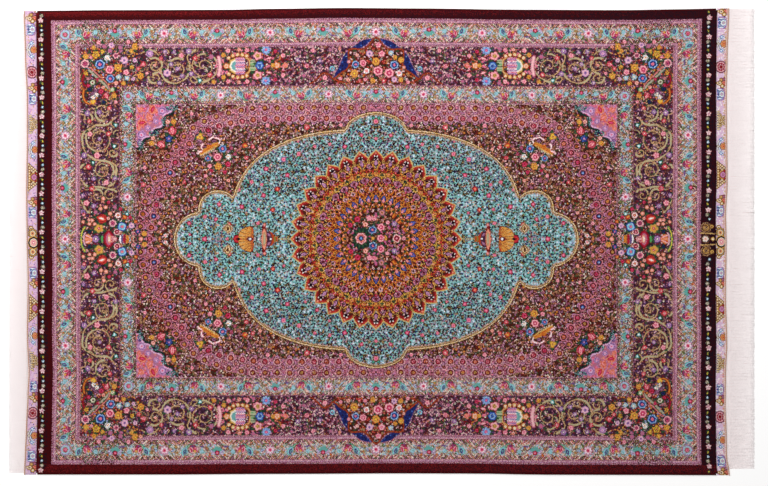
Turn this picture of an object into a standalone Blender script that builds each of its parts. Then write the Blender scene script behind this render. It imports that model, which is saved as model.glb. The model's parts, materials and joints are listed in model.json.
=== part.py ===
"""A hand-knotted silk rug lying flat on Z = 0, its length along X and its width along Y.

Nine pieces: the knotted panel, an overcast selvedge along each long side, and at each end a
flat-woven kilim band, a twined edging and a fringe. The weave isn't dead straight, so the four
outlines sway a few millimetres, as the tables below say.
"""

import math

import bmesh
import bpy

# Driving sizes, in metres.
RUG_LENGTH = 2.000  # the knotted panel, between the two kilim bands
RUG_WIDTH = 1.370  # over both selvedges
PANEL_THICKNESS = 0.005  # foundation and pile
SELVEDGE_DIAMETER = 0.005
KILIM_WIDTH = 0.0275
KILIM_THICKNESS = 0.0022
EDGING_DIAMETER = 0.0045
BACKING_WIDTH = 0.004  # the strip in which the fringe's locks are rooted
FRINGE_THICKNESS = 0.0016
LEFT_FRINGE_LENGTH = 0.040  # from the backing to the tips
RIGHT_FRINGE_LENGTH = 0.072
LEFT_FRINGE_SHORT = (0.006, 0.009)  # how far the fringe stops before the near and the far corner
RIGHT_FRINGE_SHORT = (0.020, 0.002)
LOCKS = 140  # in each fringe
LOCK_SHARE = 0.76  # of a lock's pitch that its root fills
LOCK_STEPS = 2
GAP = 0.0003  # between neighbouring pieces
PANEL_SHARE = 0.4  # of an end's sway that reaches the knotted panel

ALONG_CELLS = 24
ACROSS_CELLS = 33
EDGING_CELLS = 66
ROUND_SIDES = 2  # a curve's bevel resolution, which gives 8 sides

# Each row is a place along that side from its middle, and how far the side stands out there.
FAR_SWAY = (
    # x, out
    (-1.000, -0.004),
    (-0.800, -0.002),
    (-0.450, -0.001),
    (-0.300, 0.002),
    (-0.100, 0.0045),
    (0.130, 0.003),
    (0.400, -0.0005),
    (0.720, -0.002),
    (0.870, 0.000),
    (1.000, 0.003),
)
NEAR_SWAY = (
    # x, out
    (-1.000, 0.001),
    (-0.650, 0.001),
    (-0.250, -0.001),
    (0.050, -0.0025),
    (0.280, -0.002),
    (0.500, 0.0015),
    (0.750, 0.002),
    (1.000, 0.003),
)
LEFT_SWAY = (
    # y, out
    (-0.685, 0.0075),
    (-0.620, 0.005),
    (-0.560, 0.002),
    (-0.450, -0.003),
    (-0.390, -0.006),
    (-0.270, -0.001),
    (-0.120, -0.0035),
    (0.020, 0.000),
    (0.140, 0.0015),
    (0.320, -0.001),
    (0.430, -0.0005),
    (0.550, 0.005),
    (0.685, 0.0085),
)
RIGHT_SWAY = (
    # y, out
    (-0.685, 0.009),
    (-0.630, 0.000),
    (-0.560, -0.001),
    (-0.500, -0.0035),
    (-0.390, -0.003),
    (-0.300, 0.001),
    (-0.160, -0.003),
    (0.000, -0.001),
    (0.080, -0.003),
    (0.170, 0.002),
    (0.430, -0.0005),
    (0.550, 0.002),
    (0.685, 0.007),
)

# Each row is a dyed or undyed yarn: its colour as linear RGB, and its roughness.
YARNS = {
    "knotted_silk": ((0.16, 0.07, 0.06), 0.65),
    "maroon_silk": ((0.09, 0.004, 0.007), 0.55),
    "lilac_silk": ((0.62, 0.44, 0.68), 0.6),
    "gold_silk": ((0.56, 0.33, 0.17), 0.55),
    "undyed_silk": ((0.90, 0.84, 0.84), 0.6),
}


def sway(rows, along):
    """How far a side stands out at this place along it, eased between the table's rows."""
    if along <= rows[0][0]:
        return rows[0][1]
    for (start, low), (end, high) in zip(rows, rows[1:]):
        if along <= end:
            share = (along - start) / (end - start)
            return low + (high - low) * share * share * (3 - 2 * share)
    return rows[-1][1]


def yarn_material(name):
    """The yarn's material, made once."""
    if name in bpy.data.materials:
        return bpy.data.materials[name]
    colour, roughness = YARNS[name]
    material = bpy.data.materials.new(name)
    material.use_nodes = True
    shader = material.node_tree.nodes["Principled BSDF"]
    shader.inputs["Base Color"].default_value = (*colour, 1.0)
    shader.inputs["Roughness"].default_value = roughness
    shader.inputs["Metallic"].default_value = 0.0
    return material


def add_piece(name, data, yarn, parent):
    """Links one sub-part under the rug's empty."""
    piece = bpy.data.objects.new(name, data)
    bpy.context.scene.collection.objects.link(piece)
    data.materials.append(yarn_material(yarn))
    piece.parent = parent
    return piece


def add_sheet(name, cells, place, thickness, yarn, parent, grow=None):
    """A flat sheet made solid upwards from Z = 0: a grid whose points place(u, v) sets, u and v being 0 to 1.

    grow(bm, edges) may add to it at its edges with u = 1.
    """
    bm = bmesh.new()
    bmesh.ops.create_grid(bm, x_segments=cells[0], y_segments=cells[1], size=0.5)
    outer = [edge for edge in bm.edges if all(vertex.co.x > 0.499 for vertex in edge.verts)]
    for vertex in bm.verts:
        vertex.co = (*place(vertex.co.x + 0.5, vertex.co.y + 0.5), 0.0)
    if grow:
        grow(bm, outer)
    bmesh.ops.recalc_face_normals(bm, faces=bm.faces)
    if sum(face.normal.z for face in bm.faces) < 0:
        bmesh.ops.reverse_faces(bm, faces=bm.faces)
    mesh = bpy.data.meshes.new(name)
    bm.to_mesh(mesh)
    bm.free()
    piece = add_piece(name, mesh, yarn, parent)
    solid = piece.modifiers.new("thickness", "SOLIDIFY")
    solid.thickness = thickness
    solid.offset = 1.0
    solid.use_even_offset = False
    return piece


def add_round(name, points, diameter, yarn, parent):
    """A round cord that lies on Z = 0 along these points."""
    curve = bpy.data.curves.new(name, "CURVE")
    curve.dimensions = "3D"
    curve.bevel_depth = diameter / 2
    curve.bevel_resolution = ROUND_SIDES
    curve.use_fill_caps = True
    spline = curve.splines.new("POLY")
    spline.points.add(len(points) - 1)
    for point, (x, y) in zip(spline.points, points):
        point.co = (x, y, diameter / 2, 1.0)
    return add_piece(name, curve, yarn, parent)


def side_y(side, x, inset=0.0):
    """Y of the far (+1) or near (-1) outline, moved in from it by inset."""
    rows = FAR_SWAY if side > 0 else NEAR_SWAY
    return side * (RUG_WIDTH / 2 + sway(rows, x) - inset)


def end_x(side, y, out, share=1.0):
    """X of a line out beyond the panel's right (+1) or left (-1) end, with that share of the end's sway."""
    rows = RIGHT_SWAY if side > 0 else LEFT_SWAY
    return side * (RUG_LENGTH / 2 + out + share * sway(rows, y))


def shares(count):
    return [step / count for step in range(count + 1)]


def add_panel(parent):
    """The knotted panel, between the selvedges and the kilim bands."""
    inset = SELVEDGE_DIAMETER + GAP

    def place(u, v):
        x = (u - 0.5) * RUG_LENGTH
        y = side_y(-1, x, inset) * (1 - v) + side_y(1, x, inset) * v
        return end_x(-1, y, 0, PANEL_SHARE) * (1 - u) + end_x(1, y, 0, PANEL_SHARE) * u, y

    cells = (ALONG_CELLS, ACROSS_CELLS)
    add_sheet("panel", cells, place, PANEL_THICKNESS, "knotted_silk", parent)


def add_selvedge(name, side, parent):
    """The overcast cord along a long side."""
    points = []
    for u in shares(ALONG_CELLS):
        x = (2 * u - 1) * (RUG_LENGTH / 2)
        points.append((x, side_y(side, x, SELVEDGE_DIAMETER / 2)))
    add_round(name, points, SELVEDGE_DIAMETER, "maroon_silk", parent)


def end_y(v, x_side):
    """Y at a share v of the rug's width, at that end."""
    x = x_side * RUG_LENGTH / 2
    return side_y(-1, x) * (1 - v) + side_y(1, x) * v


def add_kilim(name, side, parent):
    """The flat-woven band beyond the last row of knots. Its outer edge sways more than its inner one."""

    def place(u, v):
        y = end_y(v, side)
        inner = end_x(side, y, 2 * GAP, PANEL_SHARE)
        outer = end_x(side, y, KILIM_WIDTH)
        return inner * (1 - u) + outer * u, y

    cells = (1, EDGING_CELLS)
    add_sheet(name, cells, place, KILIM_THICKNESS, "lilac_silk", parent)


def add_edging(name, side, parent):
    """The twined cord that closes the kilim band."""
    points = []
    for v in shares(EDGING_CELLS):
        y = end_y(v, side)
        points.append((end_x(side, y, KILIM_WIDTH + GAP + EDGING_DIAMETER / 2), y))
    add_round(name, points, EDGING_DIAMETER, "gold_silk", parent)


def add_fringe(name, side, length, short, parent):
    """The warp ends: locks that lie side by side, rooted in a narrow strip beyond the edging."""
    root = KILIM_WIDTH + EDGING_DIAMETER + 3 * GAP
    low, high = short[0] / RUG_WIDTH, 1 - short[1] / RUG_WIDTH
    columns = 2 * LOCKS - 1  # a lock, a space, a lock and so on

    def place(u, v):
        number = round(v * columns)
        across = (number // 2 + number % 2 * LOCK_SHARE) / (LOCKS - 1 + LOCK_SHARE)
        y = end_y(low + (high - low) * across, side)
        return end_x(side, y, root + u * BACKING_WIDTH), y

    def grow_locks(bm, outer):
        """Draws every second edge out as a lock that narrows and leans a little."""
        outer.sort(key=lambda edge: edge.verts[0].co.y + edge.verts[1].co.y)
        for number, edge in enumerate(outer[::2]):
            lean = 0.0012 * math.sin(2.1 * number) + 0.0006 * math.sin(0.7 * number)
            reach = length * (1 - 0.025 * (1 + math.sin(1.7 * number)))
            for step in range(LOCK_STEPS):
                made = bmesh.ops.extrude_edge_only(bm, edges=[edge])["geom"]
                tips = [part for part in made if isinstance(part, bmesh.types.BMVert)]
                edge = next(
                    part
                    for part in made
                    if isinstance(part, bmesh.types.BMEdge) and all(v in tips for v in part.verts)
                )
                middle = sum(tip.co.y for tip in tips) / 2
                narrowing = 1 - 0.3 * (step + 1) / LOCK_STEPS
                for tip in tips:
                    tip.co.x += side * reach / LOCK_STEPS
                    tip.co.y = middle + (tip.co.y - middle) * narrowing + lean / LOCK_STEPS

    add_sheet(name, (1, columns), place, FRINGE_THICKNESS, "undyed_silk", parent, grow_locks)


def centre_on_origin(parent):
    """Sets the rug so that the middle of its box, with both fringes, is over the origin."""
    bpy.context.view_layer.update()
    graph = bpy.context.evaluated_depsgraph_get()
    corners = []
    for piece in parent.children:
        mesh = piece.evaluated_get(graph).to_mesh()
        corners += [tuple(v.co) for v in mesh.vertices]
        piece.evaluated_get(graph).to_mesh_clear()
    for axis in (0, 1):
        values = [corner[axis] for corner in corners]
        parent.location[axis] = -(min(values) + max(values)) / 2


def main():
    for old in list(bpy.data.objects):
        bpy.data.objects.remove(old)
    rug = bpy.data.objects.new("rug", None)
    bpy.context.scene.collection.objects.link(rug)
    add_panel(rug)
    for name, side in (("selvedge_far", 1), ("selvedge_near", -1)):
        add_selvedge(name, side, rug)
    for name, side, length, short in (
        ("left", -1, LEFT_FRINGE_LENGTH, LEFT_FRINGE_SHORT),
        ("right", 1, RIGHT_FRINGE_LENGTH, RIGHT_FRINGE_SHORT),
    ):
        add_kilim(f"kilim_{name}", side, rug)
        add_edging(f"edging_{name}", side, rug)
        add_fringe(f"fringe_{name}", side, length, short, rug)
    centre_on_origin(rug)


main()
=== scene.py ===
"""The looks of a hand-knotted silk rug, built round its CAD model.

The rug's design is drawn as weavers draw theirs: on squared paper, a quarter of it, turned over
twice, and then what isn't symmetric. Each square is one knot. The pile's material looks up the
knot that it is in, so the colours are tied into the rug's own mesh and no picture is used.
"""

import json
import math

import bmesh
import bpy
import numpy as np
from bpy.props import FloatProperty, FloatVectorProperty, IntProperty, PointerProperty
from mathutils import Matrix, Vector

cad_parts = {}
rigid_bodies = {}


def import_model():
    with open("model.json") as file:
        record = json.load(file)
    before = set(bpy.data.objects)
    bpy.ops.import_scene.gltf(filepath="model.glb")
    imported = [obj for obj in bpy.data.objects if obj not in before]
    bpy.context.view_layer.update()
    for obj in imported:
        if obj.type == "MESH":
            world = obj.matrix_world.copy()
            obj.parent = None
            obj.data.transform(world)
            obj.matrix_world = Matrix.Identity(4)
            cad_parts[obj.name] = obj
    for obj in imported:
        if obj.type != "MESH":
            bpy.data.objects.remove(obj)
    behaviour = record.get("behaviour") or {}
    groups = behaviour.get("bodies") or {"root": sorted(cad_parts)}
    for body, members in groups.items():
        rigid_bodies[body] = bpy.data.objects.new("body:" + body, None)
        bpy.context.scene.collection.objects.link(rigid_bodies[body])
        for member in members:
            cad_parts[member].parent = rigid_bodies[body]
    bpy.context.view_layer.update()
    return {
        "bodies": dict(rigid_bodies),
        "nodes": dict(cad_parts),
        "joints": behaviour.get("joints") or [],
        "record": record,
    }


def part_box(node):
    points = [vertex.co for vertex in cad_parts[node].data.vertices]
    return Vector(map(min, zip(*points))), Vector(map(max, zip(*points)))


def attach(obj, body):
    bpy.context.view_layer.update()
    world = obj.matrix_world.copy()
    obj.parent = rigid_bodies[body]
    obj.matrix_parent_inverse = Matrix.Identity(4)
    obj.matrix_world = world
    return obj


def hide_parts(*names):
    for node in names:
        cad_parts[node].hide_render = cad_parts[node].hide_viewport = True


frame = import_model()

bl_info = {
    "name": "Knotted silk rug",
    "version": (1, 0, 0),
    "blender": (4, 5, 0),
    "location": "3D View > Sidebar > Rug",
    "description": "Ties, weaves and fringes a medallion rug on its CAD model",
    "category": "Object",
}

# ---- The dyes ----

DYES = {
    "maroon": "#43090c", "claret": "#7b1a1d", "crimson": "#b3203a", "red": "#cf3b35", "rust": "#b4431f",
    "orange": "#e08a35", "gold": "#dcae5c", "wheat": "#cda476", "fawn": "#d2a692", "yellow": "#ecc945",
    "cream": "#f4e6d4", "white": "#fbf3f1", "undyed": "#fdf0f0", "blush": "#f3c4c4", "pink": "#ee8ea0",
    "rose": "#db4f7c", "salmon": "#ea9379", "lilac": "#cf95c4", "orchid": "#e3bfdc", "mauve": "#a86f92",
    "heather": "#ba6c86", "violet": "#6f4c86", "plum": "#46263a", "ink": "#20121c", "umber": "#4b2119",
    "brown": "#7b4a33", "tan": "#b98f68", "olive": "#83793c", "moss": "#3c5a35", "bottle": "#1d3a31",
    "green": "#55a35c", "jade": "#4fae94", "turquoise": "#7fd0cf", "ice": "#a6d3d3", "sky": "#a9cbe6",
    "blue": "#4a70c4", "navy": "#222a68", "pebble": "#a9b3ad", "dove": "#ac9793", "grey_green": "#b3b695",
    "petrol": "#6fa6a6",
}
YARN = {name: number for number, name in enumerate(DYES)}

# Each kind of flower: its yarns from the rim to the heart, its petals, and how deep the rim is cut.
FLOWERS = {
    "blue": ("navy sky blue navy navy pink rose", 6, 0.16),
    "navy": ("ink navy blue navy rose pink", 7, 0.24),
    "bluebell": ("ink sky navy blue navy ink pink rose", 6, 0.3),
    "peony": ("claret blush pink crimson salmon plum navy blue ice", 7, 0.16),
    "garnet": ("claret crimson rose crimson claret", 5, 0.25),
    "sky": ("navy sky turquoise navy pink", 3, 0.08),
    "harebell": ("navy blue sky turquoise blue salmon rose", 4, 0.16),
    "violet": ("violet lilac violet cream", 7, 0.26),
    "rose": ("claret pink blush rose crimson rose blush", 6, 0.2),
    "pink": ("claret pink blush rose pink", 5, 0.26),
    "salmon": ("claret salmon blush salmon rust", 5, 0.26),
    "cobalt": ("navy blue blue sky navy blue navy", 6, 0.16),
    "cornflower": ("violet sky blue sky blue rose pink", 8, 0.3),
    "marigold": ("claret pink blush pink gold umber gold", 5, 0.3),
    "peach": ("rust orange blush gold salmon", 5, 0.3),
    "tulip": ("claret red rose blush red pink", 0, 0.6),
    "poppy": ("claret red red salmon white", 0, 0.62),
    "ruby": ("salmon red crimson rose", 0, 0.6),
    "ember": ("salmon red salmon pink", 0, 0.55),
    "flame": ("rust red orange gold", 0, 0.6),
    "jonquil": ("olive orange yellow gold rust", 3, 0.5),
    "snowdrop": ("bottle white white orange", 0, 0.5),
    "iris": ("ink navy blue navy violet lilac", 5, 0.45),
    "wisteria": ("mauve lilac violet lilac orchid rose", 7, 0.22),
    "garnet_bud": ("umber crimson mauve crimson", 0, 0.5),
    "red": ("crimson red pink crimson cream", 5, 0.24),
    "wine": ("blush crimson maroon pink", 4, 0.2),
    "orange": ("orange gold rust yellow", 6, 0.22),
    "white": ("white pink salmon", 7, 0.2),
    "pale": ("sky pebble cream", 5, 0.2),
    "lilac": ("lilac blush lilac violet", 6, 0.24),
    "green": ("green grey_green cream olive", 6, 0.2),
    "teal": ("bottle turquoise white", 3, 0.3),
    "buttercup": ("olive gold orange gold rust pink", 5, 0.3),
    "daisy": ("claret blush white rust salmon", 8, 0.24),
    "dusk": ("plum blush pink plum rose plum", 7, 0.2),
    "bilberry": ("ink bottle navy ink", 5, 0.2),
    "lily": ("umber orange yellow umber gold rust", 5, 0.4),
    "ball": ("umber salmon salmon blush", 5, 0.14),
    "mauve": ("brown mauve salmon brown", 5, 0.25),
    "heath": ("plum heather mauve heather rose", 6, 0.3),
    "moss": ("umber moss grey_green cream moss claret", 6, 0.2),
}

# The medallion's small flowers, by kind.
BUDS = {
    "rose": "claret rose pink", "pink": "brown pink rose", "coral": "claret red salmon",
    "lilac": "violet pink rose",
}

# ---- The layout, in centimetres from the rug's middle: u along its length and v across it ----

KNOT = 0.12  # a knot's side. A real one is a third of this, which no render of a whole rug shows.
KNOTS_A_FACE = 6  # the knots that one face of the mesh holds, each way
HALF_COLUMNS = 834  # knots from the middle to an end
HALF_ROWS = 567  # knots from the middle to a side

# The far reach of each frame, as (u, v), from the outside in.
PILE = (HALF_COLUMNS * KNOT, HALF_ROWS * KNOT)
BAND = (95.6, 65.5)  # what is outside this is the dark band
OUTER_GUARD = (87.4, 57.2)
MAIN_BORDER = (75.85, 45.7)
INNER_GUARD = (70.8, 40.2)
BLACK_STRIP = (97.1, 99.3)  # from and to along u, in the dark band at an end
LEFT_CHAIN = (-98.75, 5.78, -3.7)  # its u, the step from flower to flower, and where it starts
RIGHT_CHAIN = (97.9, 5.72, 8.7)  # the same, for both ways from the middle

# The medallion is the union of these: its body, its end lobe, its shoulder lobe and its side lobe.
MEDALLION = (
    # middle u, middle v, reach along u, reach along v, power (2 is an ellipse)
    (0.0, 0.0, 43.7, 32.9, 2.7),
    (51.6, 0.0, 8.3, 8.3, 2.0),
    (46.7, 8.8, 5.95, 6.0, 2.0),
    (0.0, 31.6, 9.4, 6.3, 2.0),
)

SUN = (24.8, 25.9)  # the sunburst's reach along u and v, to the red tips
RAYS = 32

SUN_FLOWERS = (
    # radius, rays on, size, yarns, petals, notch
    (0.372, 0.0, 0.5, "umber bottle moss", 4, 0.3), (0.39, 0.5, 0.46, "umber salmon blush", 5, 0.2),
    (0.43, 0.5, 0.66, "ink bottle moss", 4, 0.3), (0.46, 0.5, 0.4, "claret salmon", 5, 0.2),
    (0.52, 0.0, 0.42, "claret salmon", 5, 0.2), (0.6, 0.0, 0.45, "claret salmon pink", 5, 0.2),
    (0.665, 0.5, 0.46, "claret salmon orange", 5, 0.2), (0.735, 0.5, 0.9, "gold ink bottle moss", 4, 0.45),
    (0.755, 0.0, 0.52, "gold rust salmon", 5, 0.2), (0.775, 0.24, 0.46, "claret red", 5, 0.2),
    (0.775, 0.76, 0.46, "claret red", 5, 0.2), (0.83, 0.5, 0.95, "ink pink mauve ink plum blush", 4, 0.3),
    (0.85, 0.22, 0.52, "ink orange gold", 4, 0.2), (0.85, 0.78, 0.52, "ink orange gold", 4, 0.2),
    (0.79, 0.5, 0.45, "claret red pink", 4, 0.2), (0.88, 0.5, 0.4, "gold ink", 4, 0.2),
)
SUN_DROPS = (
    # radius, rays on, length, yarns, width, fullness
    (0.415, 0.0, 2.8, "orange ink navy blue violet mauve", 0.75, 0.75),
    (0.42, 0.0, 1.3, "ink pink pink salmon", 0.9, 0.9),
    (0.525, 0.5, 2.1, "orange ink mauve blush plum ink", 0.98, 1.6),
    (0.535, 0.5, 0.8, "umber crimson pink", 0.8, 1.0),
    (0.605, 0.0, 2.9, "ink ink mauve pink plum mauve claret ink", 1.06, 1.7),
    (0.61, 0.0, 1.1, "ink crimson rose", 0.9, 1.2), (0.685, 0.5, 1.3, "umber yellow", 0.4, 1.0),
    (0.7, 0.2, 0.9, "umber gold", 0.4, 1.0), (0.7, 0.8, 0.9, "umber gold", 0.4, 1.0),
    (0.84, 0.0, 2.1, "ink mauve lilac mauve", 0.6, 0.7), (0.805, 0.0, 1.0, "ink ink blush", 0.6, 1.0),
)

# Each row of ogival cells follows a line round the field, from the end's middle to the side's.
INNER_CELLS = (
    (66.9, 0), (66.4, 3.3), (65.7, 6.6), (64.9, 10.1), (64.0, 13.4), (62.5, 16.3), (61.0, 19.4),
    (59.6, 22.4), (57.5, 25.7), (55.1, 28.6), (52.1, 31.1), (48.0, 33.2), (43.3, 34.6), (39.9, 35.1),
    (36.4, 35.4), (32.7, 35.8), (0.0, 35.8),
)
OUTER_CELLS = (
    (69.9, 0), (69.6, 3.6), (68.9, 7.2), (68.2, 11.1), (67.2, 14.6), (65.5, 18.0), (64.0, 21.1),
    (62.1, 23.9), (60.0, 26.3), (58.1, 29.0), (55.7, 31.7), (52.4, 34.4), (48.0, 36.3), (43.3, 37.7),
    (38.8, 38.6), (34.4, 39.0), (0.0, 39.0),
)
CELLS = 25  # in each row, from the end's middle to the side's
CELLS_ROUND_BEND = 14  # of these, the ones that lie round the bend
PAST_BEND = 40.1  # the length of a row that is past the bend

SPANDREL_FLOWERS = (
    (63.2, 38.3, 1.6, "wisteria"), (69.3, 31.2, 1.6, "wisteria"), (66.0, 38.7, 1.35, "ruby"),
    (69.2, 34.8, 1.35, "ruby"), (66.9, 36.4, 1.2, "ember"), (65.0, 35.2, 1.0, "wisteria"),
    (67.4, 33.2, 1.0, "wisteria"), (69.7, 38.7, 1.0, "ember"), (65.0, 38.2, 0.7, "ember"),
    (70.0, 33.0, 0.7, "ember"), (61.2, 38.7, 0.8, "violet"), (70.0, 29.0, 0.8, "violet"),
)
SPANDREL = (
    (70.8, 40.2), (58.7, 40.2), (59.3, 39.3), (60.2, 37.6), (62.3, 36.4), (62.9, 33.4), (65.4, 32.4),
    (66.4, 30.4), (68.3, 29.7), (69.3, 27.6), (70.8, 26.9),
)

CORNER_FLOWERS = (
    # u, v, size, kind
    (85.8, 52.5, 1.5, "dusk"), (81.4, 52.3, 1.6, "blue"), (78.4, 48.0, 1.35, "blue"),
    (78.6, 50.7, 1.45, "rose"), (76.1, 51.3, 1.2, "orange"), (79.2, 54.2, 1.15, "snowdrop"),
    (82.6, 55.2, 1.5, "lily"), (85.6, 54.7, 0.9, "orange"), (80.6, 56.1, 0.8, "jonquil"),
    (76.7, 54.9, 1.1, "dusk"), (72.0, 56.3, 0.75, "orange"), (74.2, 53.5, 1.15, "lilac"),
    (73.7, 49.9, 1.1, "pink"), (69.5, 48.8, 1.0, "orange"), (68.7, 52.3, 1.0, "tulip"),
    (78.4, 56.4, 0.9, "heath"), (71.1, 53.5, 0.7, "lilac"), (75.9, 48.5, 0.8, "pale"),
    (73.5, 48.2, 0.7, "pale"), (76.7, 46.7, 0.8, "salmon"), (72.0, 51.4, 0.8, "lily"),
    (70.1, 51.0, 0.7, "red"), (71.7, 47.9, 0.6, "lilac"), (84.0, 54.4, 0.6, "pink"),
    (83.7, 46.9, 1.1, "moss"), (85.6, 49.6, 0.8, "lily"), (83.6, 42.4, 0.8, "snowdrop"),
    (82.6, 43.2, 0.8, "snowdrop"), (79.7, 42.9, 1.05, "tulip"), (77.4, 42.9, 0.8, "orange"),
    (81.2, 44.2, 0.9, "garnet"), (84.6, 44.8, 0.9, "bilberry"), (77.9, 44.7, 0.7, "green"),
    (80.6, 45.4, 0.7, "salmon"), (76.9, 41.0, 0.7, "pink"), (80.4, 41.0, 0.75, "bilberry"),
    (85.0, 48.0, 0.6, "mauve"), (74.6, 46.6, 0.7, "orange"), (67.6, 49.6, 0.6, "pink"),
    (82.2, 47.8, 0.6, "garnet"), (84.9, 46.0, 0.6, "garnet"), (75.2, 56.4, 0.8, "heath"),
)
SPILLED_FLOWERS = (  # these lie over the guard's stripes
    (81.8, 58.9, 0.8, "pink"), (80.1, 57.7, 0.9, "heath"), (78.0, 58.0, 0.9, "lilac"),
    (75.4, 57.4, 0.9, "heath"), (73.0, 59.0, 0.8, "pink"), (71.0, 57.6, 1.05, "orange"),
    (83.2, 57.3, 0.7, "orange"), (69.4, 57.5, 0.7, "salmon"),
)
SIDE_SCROLL_FLOWERS = (
    (66.7, 55.5, 1.15, "wisteria"), (57.4, 54.9, 0.95, "pink"), (61.6, 49.7, 1.2, "lilac"),
    (49.0, 54.7, 0.95, "pink"), (49.0, 49.1, 0.8, "red"), (55.2, 56.2, 0.95, "violet"),
    (63.4, 54.1, 0.7, "red"), (62.2, 56.1, 0.7, "violet"), (59.6, 55.9, 0.6, "violet"),
    (53.3, 54.1, 0.8, "red"), (60.4, 52.3, 0.7, "violet"), (54.5, 49.4, 0.8, "violet"),
    (64.0, 46.7, 0.7, "violet"), (47.9, 47.0, 0.7, "orange"), (52.0, 47.4, 0.8, "teal"),
    (57.2, 48.8, 0.7, "violet"), (58.6, 50.9, 0.7, "violet"), (65.2, 52.0, 0.6, "salmon"),
)
END_SCROLL_FLOWERS = (
    (84.5, 31.5, 0.95, "pink"), (79.0, 31.5, 0.8, "red"), (82.4, 25.0, 1.15, "pink"),
    (84.9, 21.6, 0.9, "red"), (83.6, 22.9, 0.7, "teal"), (86.2, 25.1, 0.9, "violet"),
    (83.3, 18.1, 0.7, "violet"), (79.7, 16.9, 0.95, "pink"), (83.9, 15.1, 0.85, "red"),
    (85.5, 10.8, 1.1, "pink"), (83.3, 9.9, 0.8, "violet"), (80.6, 11.4, 0.7, "salmon"),
    (86.5, 13.2, 0.6, "violet"), (77.0, 18.2, 0.7, "violet"), (85.3, 37.7, 0.9, "violet"),
    (81.8, 38.0, 0.8, "violet"), (78.8, 39.2, 0.7, "red"), (84.7, 35.3, 0.7, "red"),
    (76.9, 34.1, 0.75, "teal"), (77.3, 27.8, 0.8, "teal"), (86.5, 8.1, 0.8, "violet"),
    (76.9, 9.9, 0.7, "violet"), (81.7, 30.0, 0.6, "violet"),
)
SCROLLS = (
    # u, v, radius, turns, the angle it starts at in degrees, hand
    (65.2, 52.0, 2.3, 1.5, 60, 1), (58.6, 50.9, 3.3, 1.6, 120, -1), (50.8, 51.6, 4.3, 1.9, 200, -1),
    (65.3, 48.3, 1.9, 1.2, 0, -1), (53.8, 48.0, 1.5, 1.1, 160, 1), (81.7, 29.8, 4.4, 1.9, 90, -1),
    (80.6, 20.6, 3.3, 1.6, 220, -1), (82.3, 13.0, 2.0, 1.3, 60, 1), (78.5, 13.2, 2.0, 1.3, 150, -1),
    (86.0, 21.4, 1.1, 1.0, 0, 1), (80.6, 38.0, 2.7, 1.5, 270, 1), (85.2, 36.3, 1.5, 1.1, 200, -1),
    (77.8, 25.9, 1.4, 1.1, 200, 1),
)
SCROLL_STEMS = (
    ((69.2, 55.6), (67.0, 56.6), (64.6, 55.6), (63.2, 52.6), (63.6, 50.4), (65.8, 49.4)),
    ((64.0, 51.0), (62.2, 47.6), (59.4, 46.6), (56.2, 48.0), (54.8, 51.4), (55.6, 54.6), (53.2, 56.6)),
    ((55.2, 52.0), (54.4, 49.0), (51.4, 47.0), (48.4, 48.2), (46.6, 50.2)),
    ((77.2, 36.5), (79.3, 34.3), (83.1, 33.9), (86.4, 31.7), (86.7, 28.7), (85.7, 25.8), (82.7, 23.6)),
    ((82.7, 23.6), (79.3, 23.2), (76.9, 22.0), (76.8, 18.9), (77.3, 16.8), (78.9, 15.9)),
    ((86.9, 17.6), (85.2, 15.9), (81.0, 15.5), (77.6, 14.7)),
    ((87.0, 12.1), (86.2, 9.6), (84.8, 7.8)),
)
VASE_FLOWERS = (
    (34.3, 51.7, 1.35, "cobalt"), (32.4, 56.3, 1.5, "cornflower"), (32.5, 47.1, 1.5, "cornflower"),
    (34.9, 54.6, 1.55, "marigold"), (34.9, 48.8, 1.55, "marigold"), (29.2, 51.7, 1.2, "peach"),
    (26.8, 51.7, 0.9, "ember"), (27.4, 54.6, 0.85, "pink"), (27.4, 48.8, 0.85, "pink"),
    (44.1, 51.7, 1.05, "peach"), (43.6, 56.3, 0.9, "pink"), (43.6, 47.1, 0.9, "pink"),
    (38.0, 56.4, 0.85, "pink"), (38.0, 47.0, 0.85, "pink"), (40.4, 56.6, 0.7, "salmon"),
    (40.4, 46.8, 0.7, "salmon"), (36.2, 56.9, 0.8, "heath"), (36.2, 46.5, 0.8, "heath"),
    (45.0, 55.0, 0.7, "orange"), (45.0, 48.4, 0.7, "orange"), (48.6, 54.5, 1.0, "heath"),
    (29.7, 55.9, 0.7, "garnet"), (29.7, 47.5, 0.7, "garnet"), (30.4, 51.7, 0.7, "orange"),
)
MEADOW_FLOWERS = (
    (18.6, 56.0, 0.8, "pink"), (20.4, 51.4, 0.8, "rose"), (21.3, 48.6, 0.8, "heath"),
    (13.4, 56.1, 0.7, "heath"), (12.9, 50.6, 0.9, "sky"), (24.9, 56.2, 0.7, "heath"),
    (23.1, 53.2, 0.7, "violet"), (16.6, 52.9, 0.7, "violet"), (16.0, 47.2, 0.6, "garnet"),
    (25.5, 47.0, 0.7, "heath"), (10.7, 56.4, 0.6, "salmon"), (15.1, 47.9, 1.0, "pink"),
)
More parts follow.
